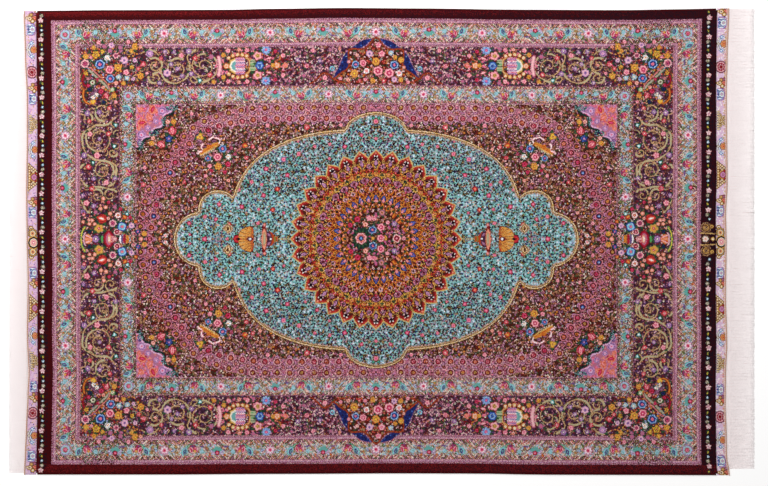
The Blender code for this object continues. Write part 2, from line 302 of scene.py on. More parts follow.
BOUQUET_FLOWERS = (
    (82.8, 0.0, 1.15, "violet"), (81.8, 3.15, 1.5, "buttercup"), (76.5, 2.1, 1.0, "wine"),
    (77.75, 4.7, 1.3, "dusk"), (75.0, 3.7, 1.5, "harebell"), (72.2, 4.0, 0.9, "lilac"),
    (84.7, 2.3, 0.75, "bilberry"), (70.3, 2.2, 0.8, "navy"), (69.4, 0.0, 0.9, "ball"),
    (80.95, 6.1, 1.6, "poppy"), (76.2, 7.1, 1.15, "daisy"), (83.8, 5.6, 0.8, "ball"),
    (84.6, 4.5, 0.75, "ball"), (83.1, 4.5, 0.75, "ball"), (84.8, 5.7, 0.6, "salmon"),
    (79.8, 9.5, 0.8, "ball"), (78.5, 7.6, 0.8, "ball"), (81.3, 9.1, 0.8, "ball"),
    (79.0, 6.2, 0.6, "salmon"), (86.5, 5.1, 0.7, "ball"), (80.5, 12.1, 0.8, "ball"),
    (74.2, 6.6, 0.8, "flame"), (73.5, 7.5, 0.7, "teal"), (72.6, 6.5, 0.7, "garnet"),
    (75.4, 9.0, 0.7, "garnet"), (77.1, 9.6, 0.8, "heath"), (82.8, 8.0, 0.8, "heath"),
    (86.3, 7.3, 0.6, "red"), (71.6, 1.6, 0.6, "wine"), (68.4, 1.6, 0.8, "orange"), (63.9, 4.7, 0.7, "pink"),
    (71.0, 5.2, 0.6, "flame"), (78.9, 11.0, 0.6, "garnet"),
)
FIELD_FLOWERS = (
    (52.0, 30.6, 1.25, "jonquil"), (45.3, 27.0, 1.25, "blue"), (46.8, 24.5, 1.35, "rose"),
    (49.6, 24.1, 1.0, "blue"), (43.6, 24.6, 1.0, "snowdrop"), (46.6, 21.7, 1.1, "orange"),
    (49.1, 21.8, 0.85, "pink"), (43.7, 22.3, 1.0, "garnet"), (50.3, 18.9, 0.7, "pink"),
    (44.6, 20.0, 0.7, "garnet"), (38.7, 27.9, 0.9, "flame"), (36.4, 27.5, 0.7, "red"),
    (34.2, 26.8, 0.7, "salmon"), (38.3, 24.2, 0.7, "red"), (60.2, 32.4, 1.4, "tulip"),
    (61.2, 30.0, 1.35, "iris"), (63.4, 28.3, 1.35, "tulip"), (42.7, 27.2, 0.8, "garnet_bud"),
    (61.5, 35.1, 0.85, "salmon"), (59.8, 35.1, 0.8, "orange"), (65.9, 30.2, 0.8, "salmon"),
    (66.3, 28.6, 0.8, "orange"), (54.4, 37.5, 0.7, "pink"), (68.3, 21.4, 0.7, "pink"),
    (68.7, 16.3, 0.8, "red"), (53.5, 12.1, 0.7, "pink"), (60.0, 12.6, 0.7, "pink"),
    (59.4, 7.8, 0.7, "salmon"), (32.0, 33.8, 0.8, "pink"), (20.4, 33.2, 0.9, "red"),
    (10.4, 33.8, 0.7, "pink"), (43.6, 17.5, 0.7, "salmon"), (56.6, 17.0, 0.6, "red"),
    (62.2, 1.0, 0.6, "white"), (48.6, 20.4, 0.6, "garnet"), (41.7, 25.4, 0.7, "garnet_bud"),
)
MEDALLION_FLOWERS = (
    (55.2, 4.7, 0.75, "rose"), (50.5, 6.7, 0.8, "pink"), (47.3, 5.9, 0.7, "rose"),
    (43.3, 4.4, 0.8, "coral"), (39.6, 9.6, 0.8, "rose"), (34.6, 8.8, 0.7, "pink"),
    (30.5, 8.7, 0.8, "coral"), (27.2, 7.8, 0.55, "rose"), (34.9, 4.7, 0.75, "pink"),
    (22.8, 25.3, 0.9, "pink"), (27.3, 23.7, 0.9, "lilac"), (32.4, 20.9, 0.85, "rose"),
    (26.2, 19.0, 0.8, "rose"), (36.7, 17.0, 0.8, "pink"), (33.7, 16.2, 0.7, "pink"),
    (29.1, 14.9, 0.9, "coral"), (33.2, 13.0, 0.85, "rose"), (46.3, 10.4, 0.8, "rose"),
    (20.9, 18.3, 0.6, "pink"), (17.4, 20.7, 0.7, "rose"), (9.2, 27.4, 0.8, "rose"),
    (4.3, 30.8, 0.7, "rose"), (0.0, 34.9, 1.0, "pink"), (0.0, 29.8, 0.7, "pink"), (13.6, 28.1, 0.7, "pink"),
    (13.8, 23.9, 0.6, "pink"), (40.3, 14.7, 0.6, "pink"), (50.6, 0.0, 0.95, "rose"),
    (55.0, 1.3, 0.5, "rose"), (44.0, 0.0, 0.6, "pink"), (18.1, 27.5, 0.7, "pink"),
    (38.0, 21.0, 0.5, "pink"), (23.0, 29.0, 0.5, "pink"),
)
HEART_FLOWERS = (
    # The bouquet in the sunburst's heart, which isn't symmetric. Its u runs to the left end.
    (-1.8, 7.8, 1.1, "mauve"), (-1.6, -6.9, 1.1, "mauve"), (-6.1, 0.2, 1.25, "wine"),
    (-8.2, 0.2, 0.7, "rose"), (2.0, 6.1, 1.05, "pink"), (1.9, -5.5, 1.05, "pink"), (0.5, 6.1, 0.85, "rose"),
    (0.5, -5.6, 0.85, "rose"), (3.1, 4.3, 0.95, "salmon"), (3.1, -3.5, 0.95, "salmon"),
    (5.5, 5.9, 1.1, "garnet"), (5.4, -5.4, 1.1, "garnet"), (7.6, 4.1, 0.9, "garnet"),
    (7.4, -3.7, 0.9, "garnet"), (-5.4, 4.5, 0.85, "violet"), (-5.4, -3.5, 0.85, "violet"),
    (-3.5, 4.9, 0.75, "pink"), (-3.3, -4.2, 0.75, "pink"), (-1.5, 3.5, 1.3, "rose"),
    (-1.4, -2.9, 1.3, "rose"), (-2.6, 0.3, 0.8, "orange"), (-1.4, 0.2, 1.3, "rose"),
    (1.0, 2.7, 1.4, "bluebell"), (0.9, -2.0, 1.4, "bluebell"), (4.4, 0.2, 1.85, "peony"),
    (0.9, 0.2, 0.5, "orange"),
)
CARTOUCHE_FLOWERS = (
    # Not symmetric either.
    (-0.6, 49.9, 1.65, "rose"), (-3.9, 49.3, 1.65, "rose"), (6.0, 51.8, 1.2, "blue"),
    (-5.4, 51.7, 1.4, "blue"), (6.4, 49.1, 1.2, "orange"), (0.0, 52.7, 1.2, "orange"),
    (3.8, 52.2, 1.2, "rose"), (1.9, 55.0, 1.05, "lilac"), (-1.7, 55.0, 1.2, "pink"),
    (-0.7, 57.6, 1.05, "pink"), (2.8, 49.9, 0.85, "white"), (-6.8, 49.3, 0.85, "white"),
    (-7.4, 53.2, 0.9, "orange"), (-4.4, 55.2, 0.7, "pale"), (-5.4, 47.4, 0.9, "lilac"),
    (-7.3, 47.3, 0.75, "orange"), (-9.4, 46.6, 0.75, "pink"), (-2.3, 47.0, 0.8, "red"),
    (0.9, 47.0, 0.8, "orange"), (3.2, 47.3, 0.7, "pink"), (8.2, 47.2, 0.8, "salmon"),
    (5.6, 54.6, 0.7, "salmon"), (-5.6, 54.0, 0.7, "orange"), (10.5, 47.6, 0.7, "pink"),
    (4.9, 47.0, 0.6, "red"), (-8.2, 51.0, 0.6, "salmon"), (8.0, 52.6, 0.6, "pink"),
)
ARCHES = (  # the two navy pieces on each side of the cartouche
    ((1.0, 59.5), (3.0, 59.3), (4.6, 58.7), (6.4, 57.4), (7.4, 56.5), (4.6, 56.6), (3.0, 57.4), (1.7, 58.7)),
    ((8.3, 55.9), (9.7, 54.1), (10.4, 52.4), (11.4, 50.4), (12.7, 47.7), (10.6, 49.0), (8.2, 51.1)),
)
ARCH_EDGE = (
    (0.0, 59.9), (0.9, 59.2), (2.6, 57.0), (4.2, 56.3), (7.9, 56.0), (8.0, 51.2), (10.4, 49.2),
    (12.6, 47.6), (13.9, 48.8), (15.6, 49.2), (17.0, 48.0), (18.4, 46.7), (19.6, 46.1),
)


def guard_places(places, last):
    """Star, palmette, fan, palmette, star and so on along a guard border, at these places."""
    kinds = ("star", "palmette", "fan", "palmette")
    return [(along, kinds[(number + last) % 4], number + last) for number, along in enumerate(places)]


OUTER_GUARD_SIDE = guard_places((0, 7.6, 15.6, 23.4, 31.2, 39.0, 46.8, 54.6, 62.4, 69.5, 76.9, 85.9), 0)
OUTER_GUARD_END = guard_places((0, 6.9, 15.3, 23.0, 31.0, 38.3, 47.1, 55.9), 0)
INNER_GUARD_SIDE = guard_places((0, 6.3, 14.0, 21.5, 29.8, 38.4, 45.9, 53.1, 60.4, 67.6), 2)
INNER_GUARD_END = guard_places((12.6, 19.3, 28.3, 37.5), 0)


# ---- Squared paper, and what is drawn on it ----


def smooth_line(places, step=KNOT / 2):
    """Points every step along a smooth curve through these places."""
    knots = np.array(places, float)
    ends = np.vstack([2 * knots[0] - knots[1], knots, 2 * knots[-1] - knots[-2]])
    line = []
    for before, start, end, after in zip(ends, ends[1:], ends[2:], ends[3:]):
        t = np.linspace(0, 1, max(int(np.hypot(*(end - start)) / step), 2), endpoint=False)[:, None]
        line.append(
            start
            + t * (end - before) / 2
            + t**2 * (before - 2.5 * start + 2 * end - after / 2)
            + t**3 * (-before + 3 * start - 3 * end + after) / 2
        )
    return np.vstack(line)


class Paper:
    """Squared paper: each square holds the number of the yarn to tie there.

    Places are in centimetres. The first square's corner is at (low_u, low_v).
    """

    def __init__(self, columns, rows, low_u=0.0, low_v=0.0, ground="maroon"):
        self.squares = np.full((rows, columns), YARN[ground], np.uint8)
        self.low = (low_u, low_v)
        self.u = (low_u + (np.arange(columns) + 0.5) * KNOT)[None, :]
        self.v = (low_v + (np.arange(rows) + 0.5) * KNOT)[:, None]

    def near(self, u, v, reach):
        """The squares round a place, and how far each is from it."""
        spans = []
        for place, low, count in zip((u, v), self.low, self.squares.shape[::-1]):
            first, last = (int((place + side * reach - low) / KNOT) for side in (-1, 1))
            spans.append(slice(*np.clip((first, last + 1), 0, count)))
        across, along = spans
        return self.squares[along, across], self.u[:, across] - u, self.v[along] - v

    def fill(self, inside, yarn):
        """Ties one yarn wherever inside is true."""
        self.squares[np.broadcast_to(inside, self.squares.shape)] = YARN[yarn]

    def paste(self, other, inside):
        """Takes over another sheet's squares wherever inside is true."""
        self.squares[inside] = other.squares[inside]

    def blank(self, yarn):
        """A new sheet like this one, all in one yarn."""
        return Paper(self.squares.shape[1], self.squares.shape[0], *self.low, yarn)

    def blossom(self, u, v, size, yarns, petals=5, notch=0.2, turn=0.0):
        """A round flower of rings, from its scalloped rim inwards."""
        squares, du, dv = self.near(u, v, size)
        rim = size * (1 - notch * (1 - np.abs(np.cos(petals / 2 * (np.arctan2(dv, du) - turn)))))
        share = np.hypot(du, dv) / rim
        yarns = yarns.split()
        for number, yarn in enumerate(yarns):
            squares[share < 1 - number / (len(yarns) + 0.2)] = YARN[yarn]

    def flower(self, u, v, size, kind, turn=0.0):
        """A flower of a kind in the table. One without petals is a tulip."""
        yarns, petals, notch = FLOWERS[kind]
        if petals:
            self.blossom(u, v, size, yarns, petals, notch, turn)
            return
        root = (u - size * math.cos(turn), v - size * math.sin(turn))
        for lean in (0.45, -0.45, 0.0):
            self.leaf(*root, size * (2.1 - abs(lean)), turn + lean, yarns, notch)

    def leaf(self, u, v, length, turn, yarns, width=0.4, full=1.0):
        """A pointed leaf that grows from (u, v) along turn, with a rim and a heart.

        It is fullest in its middle, or with full over 1 nearer its tip, as a drop is.
        """
        squares, du, dv = self.near(u, v, length * 1.05)
        along = (du * math.cos(turn) + dv * math.sin(turn)) / length
        across = np.abs(dv * math.cos(turn) - du * math.sin(turn)) / (length * width / 2)
        along = np.clip(along, 0, 1) ** full
        bulge = 4 * along * (1 - along)
        yarns = yarns.split()
        for number, yarn in enumerate(yarns):
            squares[across < bulge - number / len(yarns)] = YARN[yarn]

    def shape(self, outline, yarn):
        """Fills a closed outline, by the even-odd rule."""
        inside = np.zeros(self.squares.shape, bool)
        for (u0, v0), (u1, v1) in zip(outline, outline[1:] + outline[:1]):
            if v0 != v1:
                crossing = u0 + (self.v - v0) * (u1 - u0) / (v1 - v0)
                inside ^= ((self.v > v0) != (self.v > v1)) & (self.u < crossing)
        self.fill(inside, yarn)
        return inside

    def trace(self, line, widths, yarn):
        """Draws a line of points, as wide as widths says at each."""
        columns, rows = ((line - self.low) / KNOT).T
        half = np.maximum(np.broadcast_to(widths, columns.shape) / 2 / KNOT, 0.5)
        reach = int(math.ceil(half.max()))
        for down in range(-reach, reach + 1):
            for right in range(-reach, reach + 1):
                column, row = np.floor(columns).astype(int) + right, np.floor(rows).astype(int) + down
                near = np.hypot(column + 0.5 - columns, row + 0.5 - rows) <= half + 0.05
                near &= (column >= 0) & (row >= 0)
                near &= (column < self.squares.shape[1]) & (row < self.squares.shape[0])
                self.squares[row[near], column[near]] = YARN[yarn]

    def stem(self, places, width, yarns, taper=0.0):
        """A smooth stem, drawn once in each yarn, each time narrower."""
        line = smooth_line(places)
        widths = width * (1 - taper * np.linspace(0, 1, len(line)))
        yarns = yarns.split()
        for number, yarn in enumerate(yarns):
            self.trace(line, widths * (1 - number / len(yarns)), yarn)

    def scroll(self, u, v, radius, turns, start, hand, width, yarns):
        """A stem that winds in to (u, v). yarns are its rim, itself and, where it is broad, its heart."""
        t = np.linspace(0, 1, int(turns * 6.3 * radius / KNOT))
        angle = start + hand * turns * 2 * math.pi * t
        reach = radius * (1 - t) ** 0.75
        line = np.stack([u + reach * np.cos(angle), v + reach * np.sin(angle)], 1)
        self.tapered(line, width * np.clip(1 - 1.7 * t, 0.38, 1), yarns)

    def tapered(self, line, widths, yarns):
        """Draws a line of points in a rim's yarn, its own and, where it is broad, its heart's."""
        rim, yarn, *heart = yarns.split() * (1 if " " in yarns else 2)
        self.trace(line, widths + (KNOT if heart else 0), rim)
        self.trace(line, widths, yarn)
        broad = widths > widths.max() * 0.6
        if heart:
            self.trace(line[broad], widths[broad] * 0.45, heart[0])


def sow(paper, inside, spacing, plants, seed):
    """Covers part of the paper with small plants, no two rows alike.

    plants is each kind's weight, which is how often it comes, and what draws one at a place and a turn.
    """
    random = np.random.default_rng(seed)
    sheet = paper.blank("ink")
    sheet.squares[:] = paper.squares
    weights = np.array([weight for weight, _ in plants], float)
    choices = [draw for _, draw in plants]
    height = spacing * 0.87
    rows, columns = np.nonzero(inside)
    low_u, high_u = paper.u[0, columns.min()], paper.u[0, columns.max()]
    low_v, high_v = paper.v[rows.min(), 0], paper.v[rows.max(), 0]
    for row in range(int((high_v - low_v) / height) + 2):
        for column in range(int((high_u - low_u) / spacing) + 2):
            jitter = random.uniform(-0.3, 0.3, 2) * spacing
            u = low_u + (column + row % 2 / 2) * spacing + jitter[0]
            v = low_v + row * height + jitter[1]
            turn = random.uniform(0, 2 * math.pi)
            choice = random.choice(len(choices), p=weights / weights.sum())
            place = np.clip([(v - paper.low[1]) / KNOT, (u - paper.low[0]) / KNOT], 0, None).astype(int)
            place = np.minimum(place, np.array(inside.shape) - 1)
            if inside[tuple(place)]:
                choices[choice](sheet, u, v, turn)
    paper.paste(sheet, inside)


def dot(weight, size, yarns, petals=4, notch=0.3):
    """A small blossom to sow."""
    return weight, lambda paper, u, v, turn: paper.blossom(u, v, size, yarns, petals, notch, turn)


def sprig(weight, length, yarns, width=0.45):
    """A single leaf to sow."""
    return weight, lambda paper, u, v, turn: paper.leaf(
        u - length / 2 * math.cos(turn), v - length / 2 * math.sin(turn), length, turn, yarns, width
    )


def tendril(weight, radius, yarns, turns=0.8, hand=1, width=KNOT):
    """A curled stem to sow."""
    return weight, lambda paper, u, v, turn: paper.scroll(u, v, radius, turns, turn, hand, width, yarns)


# ---- The quarter ----


def within(paper, reach):
    """Which squares are inside a frame."""
    return (paper.u < reach[0]) & (paper.v < reach[1])


def stripes(paper, inside, steps, yarns):
    """Ties yarns in turn, one for each whole number of steps."""
    yarns = np.array([YARN[yarn] for yarn in yarns.split()], np.uint8)
    steps = np.broadcast_to(steps, paper.squares.shape)
    paper.squares[inside] = yarns[np.floor(steps[inside]).astype(int) % len(yarns)]


def draw_band(paper):
    """The plain dark band along the sides and across the ends, where it has a blacker strip."""
    paper.fill((paper.v > BAND[1]) | (paper.u > BAND[0]), "maroon")
    strip = (paper.u > BLACK_STRIP[0]) & (paper.u < BLACK_STRIP[1]) & (paper.v > 0)
    paper.fill(strip, "ink")
    sow(paper, strip, 0.6, (dot(1, 0.3, "maroon"),), 10)
    # At the corners the sides' plain band goes a knot into the strip.
    paper.fill((paper.v > BAND[1]) & (paper.u < BLACK_STRIP[0] + KNOT), "maroon")


def draw_chain(paper, u, inwards, v, lean):
    """One flower of an end band's chain, and what is either side of it. Its leaf is towards lean."""
    paper.leaf(u, v + lean * 0.9, 1.1, 2.2 * lean, "bottle moss")
    turn = lean * (math.pi / 2 - inwards * 0.3)
    paper.leaf(u + inwards * 0.1, v + lean * 1.15, 1.1, turn, "bottle olive yellow", 0.7)
    paper.blossom(u, v, 0.92, "claret blush undyed heather blush mauve", 5, 0.45, 0.3)
    paper.blossom(u + inwards * 0.3, v - lean * 1.45, 0.66, "bottle dove olive cream moss", 6)
    paper.blossom(u + inwards * 0.25, v + lean * 2.95, 0.5, "bottle sky white", 4)


def draw_end_ornament(paper):
    """The gold coils either side of a pale blossom in the middle of the right end band."""
    for rise in (-3.4, 3.4):
        paper.blossom(97.2, rise, 1.8, "umber tan ink brown gold umber tan ink", 9, 0.15)
        paper.blossom(98.2, rise * 1.735, 0.5, "bottle sky white", 4)
        paper.blossom(98.9, rise * 1.1, 0.8, "umber gold brown", 6)
    for rise in (-1.75, 1.75):
        paper.stem(((95.6, rise), (99.9, rise * 0.9)), 0.4, "umber wheat gold")
    paper.blossom(97.0, 0.0, 1.5, "ink brown ink cream blush cream salmon", 8, 0.08)
    paper.blossom(99.2, 0.0, 0.8, "umber gold cream", 4)


def draw_guard_ground(paper, inner, outer, limits, seed):
    """A guard border without its flowers: limits are where across it its stripes end, from the inside."""
    frame_inside = within(paper, outer) & ~within(paper, inner)
    end_share, side_share = (
        (places - low) / (high - low) for places, low, high in zip((paper.u, paper.v), inner, outer)
    )
    across = np.maximum(end_share, side_share)  # 0 at the border's inner edge and 1 at its outer one
    along = np.where(side_share > end_share, paper.u, paper.v)
    width = outer[1] - inner[1]
    edge_in, barber_in, flowers, barber_out = limits
    sheet = paper.blank("dove")
    row = (across > barber_in) & (across < flowers)
    lean = np.where(np.floor(along / 7.3) % 2 == 0, 1, -1) * across * width
    twist = "dove sky olive blush dove tan heather moss cream dove brown ice"
    stripes(sheet, row, (along + lean) / 0.22, twist)
    sow(sheet, frame_inside & row, 0.62, (
        dot(2, 0.26, "sky ice"), dot(4, 0.26, "umber tan"), sprig(2, 0.6, "umber"),
        dot(1, 0.25, "salmon blush"), dot(2, 0.25, "heather blush"), dot(2, 0.25, "cream tan"),
        dot(2, 0.25, "grey_green"), sprig(2, 0.7, "sky"), sprig(1, 0.6, "cream"), sprig(3, 0.6, "olive"),
        sprig(3, 0.6, "brown"), sprig(2, 0.5, "blush"), dot(2, 0.2, "violet"), dot(2, 0.22, "moss"),
        dot(1, 0.22, "salmon"), dot(2, 0.24, "petrol"),
    ), seed)
    barber = ((across > edge_in) & (across <= barber_in)) | ((across >= flowers) & (across < barber_out))
    twist = "umber salmon moss cream brown mauve bottle tan claret blush"
    stripes(sheet, barber, (along + lean) / 0.31, twist)
    sow(sheet, barber & frame_inside, 0.75, (
        dot(4, 0.2, "umber"), dot(3, 0.2, "blush"), dot(2, 0.2, "moss"), dot(2, 0.2, "mauve"),
        dot(1, 0.2, "salmon"), dot(1, 0.2, "rose"),
    ), seed + 1)
    edge = (across <= edge_in) | (across >= barber_out)
    place = np.where(across <= edge_in, edge_in - across, across - barber_out) * width
    lines = "plum mauve blush heather mauve orchid mauve heather plum blush mauve heather"
    dotted = "brown heather mauve blush umber heather mauve brown heather umber heather tan"
    stripes(sheet, edge, place / KNOT, lines)
    stripes(sheet, edge & (np.floor(along / 0.24) % 2 == 0), place / KNOT, dotted)
    # Painted shade: more dark dots darken the guards towards the ends.
    shaded = frame_inside & (sheet.u > sheet.v + 12) & (sheet.u < OUTER_GUARD[0])
    sow(sheet, shaded, 0.6, (
        dot(3, 0.2, "umber"), dot(2, 0.2, "moss"), dot(1, 0.2, "plum"),
    ), seed + 2)
    paper.paste(sheet, frame_inside)


def draw_guard_flower(paper, limb, along, out, kind, number, size):
    """One flower of a guard border. On a side it stands along v, and on an end along u."""

    def at(step, rise):
        place = (along + step * size, out + rise * size)
        return place if limb == "side" else place[::-1]

    def turned(angle):
        return angle if limb == "side" else math.pi / 2 - angle

    if kind == "star":
        paper.blossom(*at(0, 0), size * 1.2, "heather orchid undyed blush blush", 8, 0.45)
        paper.blossom(*at(0, 0), size * 0.5, "pink rose crimson", 8)
        for step in (-1.9, 1.9):
            paper.blossom(*at(step, 0.1), size * 0.36, "violet sky", 4)
            paper.blossom(*at(step * 1.5, 0.5), size * 0.4, "olive tan rust")
            paper.blossom(*at(step * 1.4, -0.8), size * 0.36, "olive tan orange")
            paper.leaf(*at(step * 0.7, -1.5), size * 1.1, turned(1.2), "moss olive")
    elif kind == "fan":
        for angle in (0.15, 0.6, 2.54, 2.99):
            paper.leaf(*at(0, 0), size * 1.8, turned(angle), "mauve sky orchid violet", 0.42)
        for angle in (-0.4, -1.0, -1.57, -2.14, -2.74):
            paper.leaf(*at(0, 0.3), size * 1.35, turned(angle), "petrol jade petrol petrol", 0.42)
        paper.blossom(*at(0, 0.6), size * 0.6, "umber crimson rose pink", 5, 0.1)
        for step in (-2.3, 2.3):
            paper.blossom(*at(step, -0.4), size * 0.38, "brown tan rust")
            paper.blossom(*at(step * 0.75, 1.1), size * 0.3, "rust orange")
    elif kind == "palmette":
        side = 1 if number % 4 == 3 else -1
        for step, rise, length, lean, yarns, width in (
            (-0.3, -1.5, 1.8, -0.9, "moss jade grey_green", 0.4),
            (2.2, -1.0, 2.0, 0.3, "petrol blush sky", 0.45),
            (0.9, -0.8, 2.3, -0.5, "petrol turquoise sky petrol", 0.6),
            (1.1, -0.4, 1.5, -0.35, "violet navy petrol", 0.5),
            (-0.2, -0.8, 1.9, 0.9, "claret pink rose crimson", 0.5),
            (0.2, -1.0, 1.9, 0.3, "claret blush rose crimson", 0.55),
            (0.4, -1.0, 1.7, 1.5, "plum crimson violet", 0.4),
            (-1.5, -0.8, 1.0, 0.0, "mauve blush", 0.5),
        ):
            turn = turned(math.pi / 2 + side * lean)
            paper.leaf(*at(side * step, rise), size * length, turn, yarns, width)
        paper.blossom(*at(-side * 0.9, 0.2), size * 0.3, "gold orange", 4)
        paper.blossom(*at(-side * 2.5, 0.3), size * 0.6, "petrol sky ice petrol sky", 6, 0.3)
        paper.leaf(*at(-side * 3.3, -0.9), size * 1.5, turned(0.1), "violet", 0.25)


def draw_guards(paper):
    """Both guard borders, with the rosettes in their corners."""
    draw_guard_ground(paper, OUTER_GUARD, BAND, (0.17, 0.31, 0.71, 0.84), 11)
    draw_guard_ground(paper, INNER_GUARD, MAIN_BORDER, (0.06, 0.2, 0.82, 0.96), 12)
    for places, limb, out, size in (
        (OUTER_GUARD_SIDE, "side", 61.5, 1.3),
        (OUTER_GUARD_END, "end", 91.8, 1.3),
        (INNER_GUARD_SIDE, "side", 43.0, 1.2),
        (INNER_GUARD_END, "end", 73.4, 1.2),
    ):
        for along, kind, number in places:
            draw_guard_flower(paper, limb, along, out, kind, number, size)
    for u, v, size in ((91.6, 61.3, 1.75), (73.2, 42.8, 1.6)):
        paper.blossom(u, v, size, "mauve sky pebble sky petrol", 10)
        paper.blossom(u, v, size * 0.42, "claret rose pink crimson", 6, 0.1)


def draw_main_border(paper):
    """The broad border: scrolls, vases, the meadow between them, and the bouquets."""
    inside = within(paper, OUTER_GUARD) & ~within(paper, MAIN_BORDER)
    sheet = paper.blank("plum")
    sow(sheet, inside, 0.72, (
        dot(4, 0.32, "plum heather"), dot(3, 0.32, "umber mauve"), dot(3, 0.3, "mauve blush"),
        dot(2, 0.3, "tan brown"), sprig(2, 0.8, "moss"), sprig(2, 0.8, "brown"), sprig(2, 0.7, "blush"),
        sprig(4, 0.8, "ink"), dot(1, 0.24, "cream"), dot(3, 0.3, "claret salmon"), tendril(1, 0.6, "tan"),
        dot(2, 0.28, "violet plum"), sprig(3, 0.7, "claret"), sprig(5, 0.9, "umber"),
    ), 21)
    meadow = (sheet.u < 28) & (sheet.v > MAIN_BORDER[1])
    sow(sheet, inside & meadow, 0.68, (
        dot(4, 0.3, "heather blush"), dot(3, 0.3, "plum mauve"), dot(2, 0.28, "cream plum"),
        sprig(2, 0.7, "blush"), sprig(3, 0.7, "claret"), sprig(4, 0.8, "ink plum"),
        tendril(2, 0.55, "heather"), dot(1, 0.3, "olive cream"), sprig(1, 0.7, "moss"),
        sprig(2, 0.7, "umber"), dot(1, 0.28, "salmon claret"),
    ), 22)
    posy = (sheet.u > 69) & (sheet.v > 40.5)
    sow(sheet, inside & posy, 0.9, (
        sprig(4, 1.1, "ink bottle"), dot(2, 0.4, "umber orange gold"), dot(2, 0.36, "umber red salmon"),
        sprig(3, 0.8, "claret"), dot(2, 0.36, "plum heather"), sprig(2, 0.9, "umber"),
        sprig(1, 0.9, "moss"),
    ), 23)
    by_end = (sheet.u > 76) & (sheet.v > 13) & (sheet.v < 44)
    curls = by_end | ((sheet.v > 46) & (sheet.u > 47) & (sheet.u < 75))
    sow(sheet, curls, 3.6, (
        tendril(2, 1.3, "umber wheat grey_green", 1.1, 1, 0.3),
        tendril(2, 1.1, "umber wheat", 1.0, -1, 0.3), tendril(1, 0.9, "umber grey_green", 0.9, 1, 0.24),
    ), 26)
    for u, v, radius, turns, start, hand in SCROLLS:
        sheet.scroll(u, v, radius, turns, math.radians(start), hand, 0.66, "umber wheat grey_green")
    for places in SCROLL_STEMS:
        line = smooth_line(places)
        bulge = np.sin(np.linspace(0, 2.5 * math.pi, len(line))) ** 2
        sheet.tapered(line, 0.28 + 0.36 * bulge, "umber wheat grey_green")
    for u, v, size, kind in SIDE_SCROLL_FLOWERS + END_SCROLL_FLOWERS:
        sheet.leaf(u, v, size * 1.9, 0.7, "bottle moss", 0.5)
        sheet.flower(u, v, size, kind, 0.6)
    draw_corner(sheet)
    draw_vase(sheet)
    for u, v, size, kind in MEADOW_FLOWERS:
        sheet.leaf(u, v, size * 1.8, -0.9, "bottle moss", 0.5)
        sheet.flower(u, v, size, kind, 0.4)
    paper.paste(sheet, inside)
    for u, v, size, kind in SPILLED_FLOWERS:
        paper.leaf(u, v, size * 1.8, u, "umber olive", 0.5)
        paper.leaf(u, v, size * 1.8, u + 3, "bottle moss", 0.5)
        paper.flower(u, v, size, kind)


def draw_corner(sheet):
    """The corner's cornucopia and what it spills."""
    sow(sheet, (sheet.u > 76.3) & (sheet.v > 43.5), 0.8, (
        dot(2, 0.36, "claret salmon red"), dot(2, 0.36, "rust orange gold"),
        dot(2, 0.34, "plum heather blush"), dot(1, 0.34, "violet sky"), dot(1, 0.34, "moss grey_green"),
        sprig(2, 0.9, "bottle moss"), sprig(2, 0.8, "claret"), sprig(1, 0.8, "brown tan"),
    ), 25)
    for u, v, size, kind in CORNER_FLOWERS:
        for turn in (0.6, 2.7, 4.6):
            sheet.leaf(u, v, size * 1.55, turn + u, "bottle moss")
    stalk = ((84.6, 50.6), (83.0, 49.0), (81.8, 47.8), (80.0, 46.2), (79.0, 44.9))
    ribbon = ((84.8, 51.4), (83.9, 51.1), (82.6, 49.7), (81.4, 48.5), (79.4, 46.6), (78.6, 44.8))
    horn = ((86.3, 44.8), (86.5, 42.9), (86.0, 41.4), (84.8, 40.5), (83.4, 40.9))
    sheet.stem(stalk, 0.75, "moss grey_green dove")
    sheet.stem(ribbon, 0.45, "claret heather salmon")
    sheet.stem(horn, 1.0, "umber brown rust orange", 0.2)
    sheet.blossom(83.6, 41.2, 0.85, "orange yellow gold", 4)
    bow = ((86.2, 49.2), (86.7, 47.6), (86.2, 46.2), (85.2, 45.6))
    sheet.stem(bow, 0.8, "umber claret crimson claret", 0.2)
    for turn in np.arange(3.0, 5.2, 0.36):
        sheet.leaf(83.6, 44.6, 3.4, turn, "plum mauve umber", 0.14)
    for u, v, size, kind in CORNER_FLOWERS:
        sheet.flower(u, v, size, kind, u)


